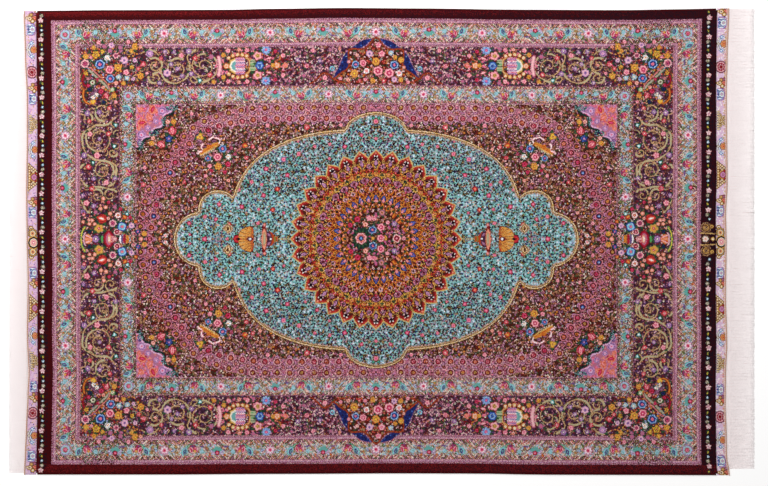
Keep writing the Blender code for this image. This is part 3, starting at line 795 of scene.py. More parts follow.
def draw_vase(sheet):
    """A round vase that lies along the border, with its flowers."""
    u, v = 40.0, 51.7
    sow(sheet, ((sheet.u - 37.0) / 10.5) ** 2 + ((sheet.v - v) / 5.9) ** 2 < 1, 0.8, (
        sprig(4, 1.0, "bottle moss"), dot(3, 0.4, "pink rose"), dot(2, 0.36, "plum heather"),
        dot(2, 0.34, "claret salmon"), sprig(3, 0.8, "claret"), sprig(2, 0.8, "umber"),
        dot(1, 0.32, "orange"),
    ), 24)
    sheet.stem(((46.4, v - 2.7), (46.0, v), (46.4, v + 2.7)), 1.5, "claret heather pink blush")
    for rise in np.arange(-2.4, 2.6, 0.48):
        sheet.stem(((46.9, v + rise), (45.4, v + rise)), 0.12, "blush")
    sheet.blossom(41.2, v, 2.9, "umber gold cream petrol petrol pebble", 9, 0.1)
    body = (sheet.u > 38.6) & (sheet.u < 41.4) & (np.abs(sheet.v - v) < 2.5)
    stripes(sheet, body, (sheet.v - v) / 0.36 + 20, "heather lilac rose orchid violet white")
    weft = body & (np.floor(sheet.u / 0.3) % 2 == 0)
    stripes(sheet, weft, (sheet.v - v) / 0.36 + 20, "pink violet blush heather orchid rose")
    for side in (-1, 1):
        sheet.stem(((38.6, v + side * 2.6), (37.4, v + side * 1.7), (37.1, v)), 0.85, "umber rust gold wheat")
        for place, rise in ((43.4, 2.4), (42.2, 3.1), (40.8, 3.4), (39.4, 3.3), (38.1, 3.0)):
            sheet.blossom(place, v + side * rise, 0.7, "rust gold cream gold")
    cap = (np.abs(sheet.u - 36.3) < 0.75) & (np.abs(sheet.v - v) < 1.8)
    stripes(sheet, cap, (sheet.v - v) / 0.3 + 20, "grey_green green grey_green grey_green moss")
    for side in (-1, 1):
        for rise, turn in ((1.9, 2.9), (2.6, 2.5)):
            sheet.leaf(32.6, v + side * rise, 2.2, side * turn, "claret pink blush", 0.5)
        sheet.stem(((30.4, v + side * 0.6), (27.4, v + side * 1.8), (24.6, v + side * 1.2)), 0.3, "claret")
        sheet.stem(((31.0, v + side * 0.8), (28.4, v + side * 3.0), (25.4, v + side * 3.2)), 0.3, "moss")
    for u, v, size, kind in VASE_FLOWERS:
        for turn in (2.2, -2.2, 0.4):
            sheet.leaf(u, v, size * 1.6, turn, "bottle moss", 0.5)
    for u, v, size, kind in VASE_FLOWERS:
        sheet.flower(u, v, size, kind)


def draw_bouquet(paper):
    """The end's bouquet, which lies over the main border and the inner guard."""
    around = ((paper.u - 78.8) / 9.2) ** 2 + (paper.v / 10.8) ** 2 < 1
    sow(paper, around, 0.84, (
        sprig(5, 1.1, "ink bottle"), dot(3, 0.42, "umber salmon blush"), dot(2, 0.4, "umber rust salmon"),
        sprig(3, 0.8, "claret"), dot(2, 0.36, "plum heather"), sprig(2, 0.8, "umber"),
        sprig(1, 0.8, "olive"),
    ), 25)
    for u, v, size, kind in BOUQUET_FLOWERS:
        for turn in (0.4, 2.5, 4.4):
            paper.leaf(u, v, size * 1.7, turn + v, "bottle moss", 0.5)
    paper.stem(((86.0, 3.6), (86.9, 1.8), (87.1, 0)), 0.65, "moss green yellow")
    paper.stem(((85.8, 1.9), (86.2, 1.2), (86.3, 0)), 0.4, "mauve blush")
    fan = paper.shape([(86.0, 0), (85.9, 1.2), (84.9, 1.5), (83.7, 0.5), (83.7, 0)], "salmon")
    stripes(paper, fan, np.arctan2(paper.v + 0.02, paper.u - 83.2) * 9, "salmon orange red blush")
    for outline, yarn in (
        (((80.5, 0), (80.4, 1.3), (79.2, 2.8), (78.2, 2.3), (77.4, 1.0), (75.9, 0)), "claret"),
        (((80.2, 0), (80.0, 1.2), (79.1, 2.4), (78.4, 2.0), (77.6, 0.8), (76.4, 0)), "crimson"),
        (((79.8, 0), (79.6, 1.1), (79.0, 1.9), (78.5, 1.5), (78.1, 0)), "heather"),
        (((79.3, 0), (79.2, 1.0), (78.8, 1.3), (78.3, 0.9), (78.3, 0)), "salmon"),
        (((79.1, 0), (79.0, 0.7), (78.6, 0.7), (78.6, 0)), "cream"),
        (((81.3, 0), (81.1, 0.9), (80.7, 0.9), (80.7, 0)), "green"),
        (((75.9, 0), (75.6, 1.2), (75.1, 1.2), (75.2, 0)), "white"),
        (((75.4, 0), (75.3, 1.2), (74.8, 1.1), (74.8, 0)), "violet"),
        (((74.6, 0), (74.6, 1.3), (74.0, 1.3), (73.9, 0)), "crimson"),
        (((73.8, 0), (73.8, 1.2), (73.0, 1.0), (72.9, 0)), "orange"),
    ):
        paper.shape(list(outline), yarn)
    for rise in (0.0, 0.45, 0.9):
        paper.stem(((78.1, rise), (76.6, rise * 0.4)), 0.12, "blush")
    for rise in (0.35, 0.75):
        paper.stem(((74.5, rise), (73.1, rise)), 0.12, "umber")
    for u, v, size, kind in BOUQUET_FLOWERS:
        paper.flower(u, v, size, kind, 0.5 + v)


def draw_cells(paper, line, between, hearts, size):
    """A row of round cells, each with a point towards the medallion.

    line is the row's path, and between is how far past each of CELLS' places its cells are, in cells.
    hearts are the yarns of their hearts, in turn.
    """
    line = smooth_line(line, 0.05)
    reach = np.concatenate([[0], np.cumsum(np.hypot(*np.diff(line, axis=0).T))])
    for number in range(CELLS):
        ends = (0, reach[-1] - PAST_BEND, reach[-1])
        place = np.interp(number + between, (0, CELLS_ROUND_BEND, CELLS), ends)
        middle = np.array([np.interp(place, reach, line[:, axis]) for axis in (0, 1)])
        ahead = np.array([np.interp(place + 0.5, reach, line[:, axis]) for axis in (0, 1)])
        turn = math.atan2(*(ahead - middle)[::-1]) + math.pi / 2
        far_side = middle[1] > 33
        rim = "blush heather claret" if far_side else "pink heather umber"
        heart = hearts[number % (2 if far_side else len(hearts))]
        paper.leaf(*middle, size * 1.6, turn, "umber lilac heather claret", 1.0)
        paper.blossom(*middle, size * 1.06, f"umber {rim} umber umber brown umber umber", 3, 0.08, turn)
        paper.blossom(*middle, size * 0.5, heart, 5, 0.35, turn)


def draw_field(paper):
    """The brown field with its rings of cells and the spandrels."""
    inside = within(paper, INNER_GUARD)
    sheet = paper.blank("umber")
    sow(sheet, inside, 0.72, (
        dot(4, 0.34, "tan umber rust"), dot(2, 0.34, "salmon umber"), dot(3, 0.34, "mauve plum blush"),
        dot(3, 0.32, "heather umber"), sprig(4, 0.7, "blush"), sprig(2, 0.8, "moss"),
        sprig(2, 0.8, "mauve"), tendril(3, 0.6, "tan"), tendril(2, 0.5, "salmon"), dot(2, 0.24, "cream"),
        dot(1, 0.26, "orange"), sprig(2, 0.7, "claret"), sprig(2, 0.7, "bottle"),
        dot(1, 0.3, "pebble umber"), sprig(2, 0.6, "ink"),
    ), 31)
    middle_row = [((u + u2) / 2, (v + v2) / 2) for (u, v), (u2, v2) in zip(INNER_CELLS, OUTER_CELLS)]
    mask = sheet.blank("umber")
    mask.trace(smooth_line(middle_row, 0.3), 5.0, "heather")
    band = mask.squares == YARN["heather"]
    side_band = band & (sheet.v > 33.5)
    sheet.fill(side_band, "heather")
    sow(sheet, band, 0.7, (
        dot(2, 0.36, "heather claret"), sprig(2, 0.7, "heather"), dot(2, 0.3, "umber rust"),
        sprig(3, 0.8, "umber"), sprig(2, 0.8, "ink"), sprig(1, 0.6, "pink"), sprig(1, 0.7, "mauve"),
    ), 33)
    sow(sheet, side_band, 0.7, (
        sprig(3, 0.7, "lilac"), sprig(3, 0.7, "pink"), dot(3, 0.32, "heather claret"),
        sprig(3, 0.6, "heather"), sprig(1, 0.6, "umber"), sprig(1, 0.6, "blush"),
    ), 37)
    draw_cells(sheet, middle_row, 0.5, ("claret salmon blush claret", "claret pink salmon umber"), 0.8)
    hearts = ("rust tan orange brown", "claret gold brown", "brown orange rust umber")
    draw_cells(sheet, OUTER_CELLS, 0.0, hearts, 1.22)
    hearts = ("crimson pink claret", "rust salmon claret", "navy blue sky", "crimson rose maroon")
    draw_cells(sheet, INNER_CELLS, 0.0, hearts, 1.26)
    sow(sheet, band, 1.1, (
        dot(3, 0.15, "umber"), dot(2, 0.15, "blush"), dot(1, 0.14, "tan"), dot(2, 0.16, "claret"),
        dot(1, 0.15, "heather"),
    ), 36)
    spandrel = sheet.shape(list(SPANDREL), "heather")
    sow(sheet, spandrel, 0.8, (
        dot(3, 0.5, "lilac heather"), sprig(2, 0.9, "lilac orchid"), dot(2, 0.4, "mauve lilac"),
        dot(3, 0.45, "rose pink"), sprig(2, 0.8, "salmon"), sprig(3, 0.8, "mauve"),
        sprig(3, 0.7, "heather"), dot(1, 0.3, "crimson"), sprig(2, 0.7, "claret"),
    ), 32)
    warm = spandrel & (sheet.u + sheet.v > 102)
    sow(sheet, warm, 0.8, (
        dot(3, 0.4, "red salmon"), sprig(2, 0.8, "salmon red"), dot(3, 0.4, "rose pink"),
        dot(3, 0.4, "mauve pink"), dot(1, 0.3, "orange"), sprig(2, 0.8, "lilac"), sprig(2, 0.7, "claret"),
    ), 34)
    for number, (u, v, size, kind) in enumerate(SPANDREL_FLOWERS):
        sheet.flower(u, v, size, kind, number)
    sheet.stem(((58.9, 40.0), (70.7, 40.0), (70.7, 27.2)), 0.12, "orange")
    edge = SPANDREL[1:]
    sheet.trace(smooth_line([(u + 0.5, v + 0.5) for u, v in edge]), 0.24, "orchid")
    for width, yarn in ((0.7, "ink"), (0.3, "bottle")):
        sheet.trace(smooth_line(edge), width, yarn)
    patches = (
        # middle u, middle v, reach along u, reach along v
        (60.2, 39.3, 2.0, 0.9), (62.7, 35.2, 0.9, 1.6), (65.7, 31.6, 1.5, 1.0), (69.6, 28.2, 0.8, 1.9),
    )
    for u, v, reach_u, reach_v in patches:
        patch = ((sheet.u - u) / reach_u) ** 2 + ((sheet.v - v) / reach_v) ** 2 < 1
        sow(sheet, patch, 0.6, (
            dot(3, 0.35, "ink petrol"), dot(2, 0.3, "bottle ice"), sprig(2, 0.7, "navy"),
        ), 35)
    for u, v, size, kind in FIELD_FLOWERS:
        for turn in (0.4, 2.5, 4.4):
            sheet.leaf(u, v, size * 1.7, turn + v, "bottle moss", 0.5)
    draw_basket(sheet)
    for u, v, size, kind in FIELD_FLOWERS:
        sheet.flower(u, v, size, kind, 0.5 + v)
    paper.paste(sheet, inside)


def draw_basket(sheet):
    """The basket that lies between the spandrel and the medallion, tipped over."""
    sheet.blossom(47.9, 29.2, 1.0, "umber plum mauve plum", 5, 0.3)
    body = ((51.6, 25.9), (49.6, 27.0), (47.9, 28.1), (46.6, 28.5))
    sheet.stem(body, 1.5, "umber gold orange rust orange", 0.25)
    sheet.blossom(49.4, 27.6, 0.75, "rust orange rust", 5, 0.3)
    for places in (
        ((49.3, 29.7), (48.4, 30.3), (47.6, 30.3)),
        ((47.3, 30.2), (46.4, 29.9), (46.1, 29.2), (46.4, 28.6)),
        ((51.3, 28.3), (51.6, 27.4), (51.2, 26.7)),
        ((51.6, 26.3), (52.3, 25.9), (52.7, 25.3)),
    ):
        sheet.stem(places, 0.6, "pink white", 0.5)
    sheet.stem(((52.0, 25.1), (50.2, 25.9), (48.4, 26.9), (46.7, 28.0)), 0.24, "gold")
    for place in np.arange(0, 1, 0.2):
        u, v = 51.0 - place * 3.6, 25.0 + place * 1.6
        sheet.stem(((u, v), (u - 0.4, v + 0.8)), 0.12, "cream")


def draw_medallion(paper):
    """The turquoise medallion, outlined in gold."""
    inside = np.zeros(paper.squares.shape, bool)
    for u, v, reach_u, reach_v, power in MEDALLION:
        share = np.abs((paper.u - u) / reach_u) ** power + np.abs((paper.v - v) / reach_v) ** power
        inside |= share < 1
    ground = paper.blank("ice")
    sow(ground, inside, 0.56, (
        dot(1, 0.27, "navy ink", 4, 0.1), dot(2, 0.3, "petrol bottle", 4, 0.1), sprig(1, 0.8, "sky", 0.5),
        sprig(4, 0.9, "umber olive", 0.5), sprig(6, 0.9, "petrol", 0.5), dot(2, 0.3, "petrol ice"),
        sprig(1, 0.8, "turquoise", 0.5), sprig(2, 0.8, "dove", 0.5), sprig(3, 0.7, "umber", 0.4),
        tendril(2, 0.45, "bottle"), tendril(1, 0.45, "violet"), dot(1, 0.25, "salmon"),
        dot(1, 0.25, "mauve violet"), dot(1, 0.3, "jade"),
    ), 41)
    sow(ground, inside, 2.6, (
        sprig(2, 1.5, "umber olive tan", 0.5), dot(1, 0.5, "olive umber"), dot(1, 0.5, "pebble mauve"),
    ), 42)
    sow(ground, inside & (paper.v > 14), 0.7, (
        dot(2, 0.22, "ink"), dot(2, 0.2, "umber"), dot(1, 0.2, "mauve"), sprig(1, 0.6, "dove", 0.5),
    ), 43)
    sow(ground, inside, 0.98, (
        dot(7, 0.28, "ink", 4, 0.1), dot(2, 0.28, "navy", 4, 0.1), dot(1, 0.3, "sky white", 4, 0.1),
    ), 44)
    for u, v, size, kind in MEDALLION_FLOWERS:
        ground.leaf(u, v, size * 2.1, 0.9 + u, "bottle jade", 0.5)
        ground.leaf(u, v, size * 2.1, 3.6 + u, "navy ice")
        ground.blossom(u, v, size, BUDS[kind], 4, 0.2, 0.6 + v)
    ring = inside
    rims = (
        # yarn, how many knots wide, whether it's dotted
        ("umber", 2, False), ("gold", 1, False), ("cream", 1, False), ("gold", 1, False),
        ("umber", 2, False), ("wheat", 2, False), ("umber", 1, True), ("blush", 1, True), ("dove", 1, True),
    )
    for yarn, knots, dotted in rims:
        for _ in range(knots):
            inner = ring.copy()
            inner[1:] &= ring[:-1]
            inner[:-1] &= ring[1:]
            inner[:, 1:] &= ring[:, :-1]
            inner[:, :-1] &= ring[:, 1:]
            rim = ring & ~inner
            if dotted:
                rim &= np.floor((paper.u * 1.1 + paper.v * 1.3) / 0.5) % 2 == 0
            ground.fill(rim, yarn)
            ring = inner
    paper.paste(ground, inside)
    draw_pendant(paper)


def draw_pendant(paper):
    """What stands between the sunburst and the medallion's end: a fan on a spindle, a wreath and a bud."""
    paper.stem(((24.5, 0), (29.4, 0)), 0.24, "gold")
    for turn in np.linspace(0, 6.28, 15)[:-1]:
        wreath = (46.6 + 1.55 * math.cos(turn), 1.75 * math.sin(turn))
        paper.blossom(*wreath, 0.36, ("brown tan", "navy ice")[int(turn * 3) % 2], 4)
    paper.blossom(46.6, 0.0, 0.9, "mauve pebble ink petrol", 8)
    for place in (34.2, 34.7, 35.2, 35.7):
        for rise in np.arange(0.2, 3.4 - abs(place - 34.9), 0.42):
            yarn = ("olive", "plum", "moss", "mauve")[int(rise * 2.4 + place * 2) % 4]
            paper.leaf(place - 0.15, rise, 0.42, 1.2, yarn, 0.5)
    for outline, yarn in (
        (((29.1, 0), (29.2, 0.8), (30.1, 1.0), (30.8, 1.9), (31.6, 2.5), (31.6, 0)), "rust"),
        (((29.6, 0), (29.6, 0.8), (30.1, 0.9), (30.1, 0)), "olive"),
        (((30.7, 0), (30.9, 1.3), (31.4, 2.1), (32.5, 2.5), (32.5, 0)), "plum"),
        (((31.0, 0.7), (31.5, 1.6), (32.2, 1.9), (31.9, 1.0)), "mauve"),
        (((32.1, 0), (32.3, 2.4), (32.8, 4.7), (33.3, 4.4), (33.8, 2.2), (34.0, 0)), "claret"),
        (((32.3, 0), (32.5, 2.3), (33.0, 3.2), (33.6, 2.1), (33.8, 0)), "salmon"),
        (((32.5, 0), (32.6, 1.8), (32.9, 2.2), (33.3, 1.7), (33.4, 0)), "tan"),
        (((32.75, 0), (32.85, 1.4), (33.1, 1.4), (33.1, 0)), "grey_green"),
    ):
        paper.shape(list(outline), yarn)
    paper.blossom(32.9, 4.2, 0.62, "claret salmon pink", 4)
    paper.blossom(31.1, 0.0, 0.3, "white", 4)
    paper.leaf(39.4, 0.0, 3.0, 0.0, "umber crimson red claret", 1.0)
    paper.blossom(40.5, 0.0, 0.48, "ink", 4, 0.1)
    rim = [(40.5, 1.5), (40.0, 2.6), (38.6, 3.4), (37.1, 3.85)]
    inside = paper.shape([(39.5, 0), (40.6, 0.4), *rim, (36.3, 3.4), (36.1, 2.0), (36.1, 0)], "orange")
    # Six ribs in turn, in other yarns in each third of the fan.
    ribs = np.floor(np.arctan2(paper.v - 0.3, paper.u - 35.6) * 21) % 6
    third = np.where(paper.u > 38.6, 0, 6) + np.where(paper.u > 37.0, 0, 6)
    stripes(paper, inside, ribs + third, (
        "gold orange brown gold wheat orange rust gold orange brown orange gold "
        "red brown rust orange plum orange"
    ))
    paper.stem([(36.2, 0), (36.1, 1.9), (36.4, 3.4), *rim[::-1]], 0.13, "umber")
    paper.stem(((36.4, 0), (39.6, 0)), 0.24, "claret")
    paper.leaf(36.2, 0.0, 2.1, 0.0, "claret plum plum", 0.7)
    paper.blossom(37.2, 0.0, 0.36, "white", 4, 0.1)


def draw_sunburst(paper):
    """The many-rayed rosette: rings of small flowers in gold outlines."""
    u, v = paper.u / SUN[0], paper.v / SUN[1]
    reach = np.hypot(u, v)
    sector = np.arctan2(v, u) * RAYS / (2 * math.pi)
    off = np.abs(sector - np.round(sector))  # 0 on a ray's axis and 0.5 between two rays
    edge = np.interp(off, (0, 0.06, 0.34, 0.5), (1.015, 1.0, 0.955, 0.92))
    sheet = paper.blank("umber")
    sow(sheet, reach < 1.1, 0.5, (
        dot(3, 0.24, "rust"), dot(1, 0.2, "orange"), dot(3, 0.26, "claret"), dot(1, 0.2, "gold"),
        dot(3, 0.26, "ink"),
    ), 50)
    nets = (
        # from this radius, to this one, yarn
        (0.33, 0.41, "orange"), (0.41, 0.52, "orange"), (0.52, 0.6, "orange"), (0.6, 0.7, "gold"),
        (0.66, 0.74, "gold"), (0.72, 0.82, "orange"), (0.8, 0.92, "gold"),
    )
    for low, high, yarn in nets:
        share = (reach - low) / (high - low)
        near = np.minimum(np.abs(off * 2 - share), np.abs(1 - off * 2 - share))
        sheet.fill((near * (0.4 + reach) < 0.075) & (share > 0) & (share < 1), yarn)

    def ring(radius, half):
        """The places of a ring's flowers, each with the way out from the middle."""
        for number in range(RAYS // 4 + 2):
            angle = (number + half) * 2 * math.pi / RAYS
            place = (radius * SUN[0] * math.cos(angle), radius * SUN[1] * math.sin(angle))
            yield *place, math.atan2(place[1], place[0])

    for radius, half, size, yarns, petals, notch in SUN_FLOWERS:
        for *place, turn in ring(radius, half):
            sheet.blossom(*place, size, yarns, petals, notch, turn)
    for radius, half, length, yarns, width, full in SUN_DROPS:
        for *place, turn in ring(radius, half):
            sheet.leaf(*place, length, turn, yarns, width, full)
    sow(sheet, (reach > 0.4) & (reach < 0.93), 0.75, (
        dot(4, 0.15, "ink"), dot(2, 0.15, "claret"), dot(1, 0.14, "blush"), dot(1, 0.15, "umber"),
        dot(1, 0.15, "rust"),
    ), 52)
    frame = (off < 0.42) & (reach < edge)
    sheet.fill(frame & (reach > edge - 0.075), "umber")
    sheet.fill(frame & (reach > edge - 0.05), "claret")
    sheet.fill(frame & (reach > edge - 0.03) & (np.floor((off + 1) * 26) % 2 == 0), "red")
    for *place, turn in ring(0.93, 0):
        sheet.blossom(*place, 0.95, "ink", 4, 0.8, turn + math.pi / 4)
    for radius, half, size, yarn in (
        (0.95, -0.1, 0.2, "white"), (0.915, -0.11, 0.2, "blush"), (0.95, 0.1, 0.2, "white"),
        (0.915, 0.11, 0.2, "blush"), (0.985, 0.0, 0.3, "salmon"),
    ):
        for *place, _ in ring(radius, half):
            sheet.blossom(*place, size, yarn, 4, 0.1)
    spike = (off * reach < 0.012) & (reach < 1.065)
    outline = (reach < edge + 0.02) | spike
    sheet.fill(outline & (reach >= edge), "gold")
    sheet.fill(outline & (reach >= edge + 0.011), "grey_green")
    heart = reach < 0.335 + 0.025 * np.cos(4 * np.arctan2(v, u))
    stripes(sheet, reach < 0.36, sector * 4, "orange claret salmon umber umber rust")
    sheet.fill(heart, "maroon")
    sow(sheet, heart, 0.72, (
        sprig(3, 0.9, "umber"), dot(2, 0.4, "brown salmon"), dot(3, 0.4, "mauve rose"),
        sprig(2, 0.8, "bottle"), tendril(2, 0.5, "tan"), dot(1, 0.34, "blush claret"),
    ), 51)
    paper.paste(sheet, outline)


def draw_quarter():
    """The quarter that is drawn, from the middle to one corner."""
    paper = Paper(HALF_COLUMNS, HALF_ROWS)
    draw_band(paper)
    draw_guards(paper)
    draw_main_border(paper)
    draw_field(paper)
    draw_bouquet(paper)
    draw_medallion(paper)
    draw_sunburst(paper)
    draw_arch(paper)
    return paper


def draw_arch(paper):
    """The cartouche in the middle of a side, without its flowers."""
    inside = paper.shape([
        (0.0, 59.7), (0.9, 59.2), (2.6, 57.0), (7.9, 55.8), (8.2, 51.2), (12.6, 47.9), (12.6, 45.8),
        (0.0, 45.8),
    ], "umber")
    sow(paper, inside, 0.72, (
        sprig(2, 0.9, "bottle moss"), sprig(1, 0.8, "ink"), dot(2, 0.36, "claret red salmon"),
        sprig(2, 0.8, "claret"), dot(4, 0.36, "plum heather blush"), dot(3, 0.34, "tan brown"),
        sprig(2, 0.8, "blush"), dot(2, 0.34, "rust orange"), dot(2, 0.32, "pebble moss"),
        sprig(2, 0.7, "brown"),
    ), 61)
    for outline in ARCHES:
        arch = paper.shape(list(outline), "navy")
        sow(paper, arch, 0.75, (
            dot(1, 0.2, "blue"), dot(1, 0.16, "sky"), sprig(4, 0.6, "ink"),
        ), 62)
        paper.stem([*outline, outline[0]], 0.12, "mauve")
    paper.stem(ARCH_EDGE, 0.62, "umber brown claret rust")
    paper.stem(((12.6, 47.6), (11.0, 46.8), (9.0, 46.4)), 0.4, "claret rust")


def mirrored(quarter):
    """The whole sheet, from the quarter turned over twice."""
    half = np.hstack([quarter.squares[:, ::-1], quarter.squares])
    whole = Paper(HALF_COLUMNS * 2, HALF_ROWS * 2, -PILE[0], -PILE[1])
    whole.squares[:] = np.vstack([half[::-1], half])
    return whole


def tint(paper, chance, yarn, seed):
    """Ties one yarn here and there in place of others: chance is how likely it is at each square."""
    random = np.random.default_rng(seed)
    paper.fill(random.random(paper.squares.shape) < chance, yarn)


def hand_tied(paper, share, seed):
    """No weaver counts every knot right: a share of the knots takes the yarn of the next one."""
    random = np.random.default_rng(seed)
    rows, columns = paper.squares.shape
    row, column = np.indices((rows, columns), np.int32)
    for place, count in ((row, rows), (column, columns)):
        step = random.choice([-1, 0, 1], (rows, columns), p=[share / 2, 1 - share, share / 2])
        np.clip(place + step, 0, count - 1, out=place)
    paper.squares = paper.squares[row, column]


def paint_band_sheen_and_shade(paper):
    """Painted sheen and shade on the band's plain squares: redder along the far side's outer edge, most on
    the left, and darker towards the right; the near side is a little redder all along.
    """
    plain = (paper.squares == YARN["maroon"]) & ((np.abs(paper.v) > BAND[1]) | (np.abs(paper.u) > BAND[0]))
    left = np.clip(0.5 - paper.u / 180, 0, 1)
    # Painted shade: ink here and there, more of it towards the right.
    tint(paper, plain * (0.1 + 0.55 * (1 - left)), "ink", 7)
    outer = np.clip((paper.v - 66.3) / 2.0, 0, 1)
    # Painted sheen: claret along the far side's outer edge, most on the left.
    tint(paper, plain * (0.85 * outer) * left, "claret", 6)
    tint(paper, plain * (paper.v < -BAND[1]) * 0.3, "claret", 8)


def draw_whole():
    """The rug's whole cartoon, seen from above, with v up."""
    paper = mirrored(draw_quarter())
    for u, v, size, kind in HEART_FLOWERS:
        for turn in (0.4, 1.9, 3.4, 4.9):
            paper.leaf(-u, v, size * 1.6, turn + v, "bottle moss", 0.5)
    for turn in np.arange(0, 6.2, 0.45):
        paper.leaf(-4.4, 0.2, 2.9 + 1.1 * math.sin(turn) ** 2, turn, "ink bottle bottle moss")
    for u, v, size, kind in HEART_FLOWERS:
        paper.flower(-u, v, size, kind, 0.3)
    for side in (-1, 1):
        for u, v, size, kind in CARTOUCHE_FLOWERS:
            for turn in (0.4, 2.5, 4.4):
                paper.leaf(-u, side * v, size * 1.35, turn + v, "bottle moss")
        for u, v, size, kind in CARTOUCHE_FLOWERS:
            paper.flower(-u, side * v, size, kind, 0.3)
    u, step, start = LEFT_CHAIN
    for number in range(-11, 13):
        draw_chain(paper, u, 1, number * step + start, -1)
    u, step, start = RIGHT_CHAIN
    for number in range(11):
        for lean in (-1, 1):
            draw_chain(paper, u, -1, lean * (start + number * step), lean)
    draw_end_ornament(paper)
    hand_tied(paper, 0.45, 5)
    # Painted sheen and shade in the dark band.
    paint_band_sheen_and_shade(paper)
    return paper


KILIM_COLUMNS = 24
KILIM_ROW = (
    # place from the middle, kind
    (0.0, "rosette"), (8.9, "wing"), (11.9, "cluster"), (19.2, "cartouche"), (27.3, "spray"),
    (34.7, "scroll"), (42.2, "wing"), (45.4, "cluster"), (50.0, "wheel"), (56.6, "spray"), (62.6, "wing"),
    (65.9, "cluster"),
)
# The yarns of the ground's second and fourth sprigs and its dots, in the left band and the right one.
# The right band's paler yarns are painted light, which makes up for the softboxes' light falling off towards
# the right.
KILIM_YARNS_WITH_PAINTED_LIGHT = {-1: ("lilac", "wheat", "violet"), 1: ("undyed", "undyed", "orchid")}
KILIM_STRETCH = {-1: 1.0, 1: 1.02}  # the right band's motifs are a little further apart


def draw_kilim(side):
    """A flat-woven band's cartoon, from its left side to its right one. side is -1 or 1."""
    paper = Paper(KILIM_COLUMNS, 2 * HALF_ROWS, -KILIM_COLUMNS / 2 * KNOT, -PILE[1], "orchid")
    everywhere = np.ones(paper.squares.shape, bool)
    # The right band's paler yarns are painted light.
    second, fourth, dots = KILIM_YARNS_WITH_PAINTED_LIGHT[side]
    sow(paper, everywhere, 0.6, (
        sprig(3, 0.9, "orchid"), sprig(2, 0.8, second), sprig(2, 0.7, "blush"), sprig(1, 0.8, fourth),
        dot(1, 0.2, dots),
    ), 70)
    if side > 0:
        sow(paper, everywhere & (paper.u > 0.85), 0.5, (
            sprig(2, 0.7, "salmon"), sprig(3, 0.7, "gold"), sprig(3, 0.7, "blush"), sprig(5, 0.7, "undyed"),
        ), 71)
    for rise, kind in KILIM_ROW:
        for v in sorted({rise, -rise}):
            draw_kilim_motif(paper, kind, v * KILIM_STRETCH[side])
    return paper


def draw_kilim_motif(paper, kind, v):
    """One motif of a kilim band, centred at v. Most grow from the right edge to the left."""
    if kind == "wing":
        for step in (-1.3, -0.65, 0.0, 0.65, 1.3):
            paper.leaf(0.9, v + step, 2.2, math.pi, "blue sky white")
        paper.blossom(0.4, v, 1.25, "violet sky white pebble lilac", 7, 0.25)
        for step in (-0.95, 0.0, 0.95):
            paper.leaf(-0.1, v + step, 1.2, math.pi, "navy", 0.25)
        cap = ((-0.6, v - 1.7), (0.9, v - 1.5), (1.25, v), (0.9, v + 1.5), (-0.9, v + 1.6))
        paper.stem(cap, 0.32, "violet lilac")
    elif kind == "cluster":
        for place, rise, size, yarns in (
            (1.0, 0.9, 0.8, "claret mauve heather"), (1.1, -0.1, 0.95, "umber salmon red salmon"),
            (0.5, -0.9, 0.75, "umber gold cream"), (0.1, 0.9, 0.7, "brown tan gold"),
            (-0.3, -0.1, 0.85, "brown gold cream brown"), (-1.05, 0.0, 0.5, "brown gold cream"),
        ):
            paper.blossom(place, v + rise, size, yarns)
    elif kind == "spray":
        for reach, yarns in ((2.6, "umber pebble white"), (1.9, "navy sky white")):
            turns = np.linspace(-1.35, 1.35, 9)
            arc = [(1.2 - reach * 0.9 * math.cos(turn), v + reach * math.sin(turn)) for turn in turns]
            paper.stem(arc, 0.5, yarns)
        for rise in (-2.0, 2.0):
            paper.blossom(0, v + rise, 0.55, "blue sky white", 4, 0.3)
        paper.blossom(-0.9, v, 0.5, "brown cream pebble", 4, 0.3)
        paper.blossom(0.75, v, 1.15, "umber salmon gold rust salmon orange crimson", 8, 0.12)
    elif kind == "wheel":
        paper.blossom(0, v, 1.9, "umber heather blush crimson heather blush crimson claret", 14, 0.08)
        for turn in np.linspace(0, 2 * math.pi, 10)[:-1]:
            paper.leaf(0, v, 1.6, turn, "claret", 0.14)
    elif kind == "scroll":
        for step in np.linspace(-2.5, 2.5, 8):
            paper.leaf(-1.6, v + step, 2.9 - 0.5 * abs(step), 0.0, "umber cream gold", 0.42)
        for place, rise, size in (
            (0.9, -0.75, 0.75), (0.9, 0.75, 0.75), (-0.1, 0.0, 0.85), (-0.1, -1.5, 0.55), (-0.1, 1.5, 0.55),
        ):
            paper.blossom(place, v + rise, size, "umber gold cream umber gold brown", 7, 0.15)
    elif kind == "cartouche":
        paper.shape([(1.5, v - 1.7), (-1.2, v - 3.3), (-1.2, v + 3.3), (1.5, v + 1.7)], "brown")
        for step in range(6):
            for lean in (-1, 1):
                place, rise = 1.4 - 0.55 * step, v + lean * (1.6 + 0.42 * step)
                paper.blossom(place, rise, 0.55, "umber gold cream")
                paper.blossom(place, rise - lean * 0.9, 0.42, "brown cream gold")
        for rise in np.linspace(-2.7, 2.7, 8):
            paper.blossom(-0.95, v + rise, 0.5, "brown gold cream")
        paper.blossom(0.55, v, 1.35, "gold claret heather lilac heather mauve", 4, 0.1)
        for lean in (-1, 1):
            paper.blossom(1.1, v + lean * 1.15, 0.4, "claret red", 4)
    elif kind == "rosette":
        for rise in (-4.1, 4.1):
            paper.blossom(-0.5, v + rise, 0.95, "umber gold cream brown", 6)
        for rise in (-2.7, 2.7):
            paper.blossom(0, v + rise, 1.6, "umber gold umber cream gold salmon brown", 9, 0.15)
        paper.blossom(0.3, v, 2.0, "gold umber ink cream salmon blush rose cream", 8, 0.08)


# ---- The rug in Blender ----

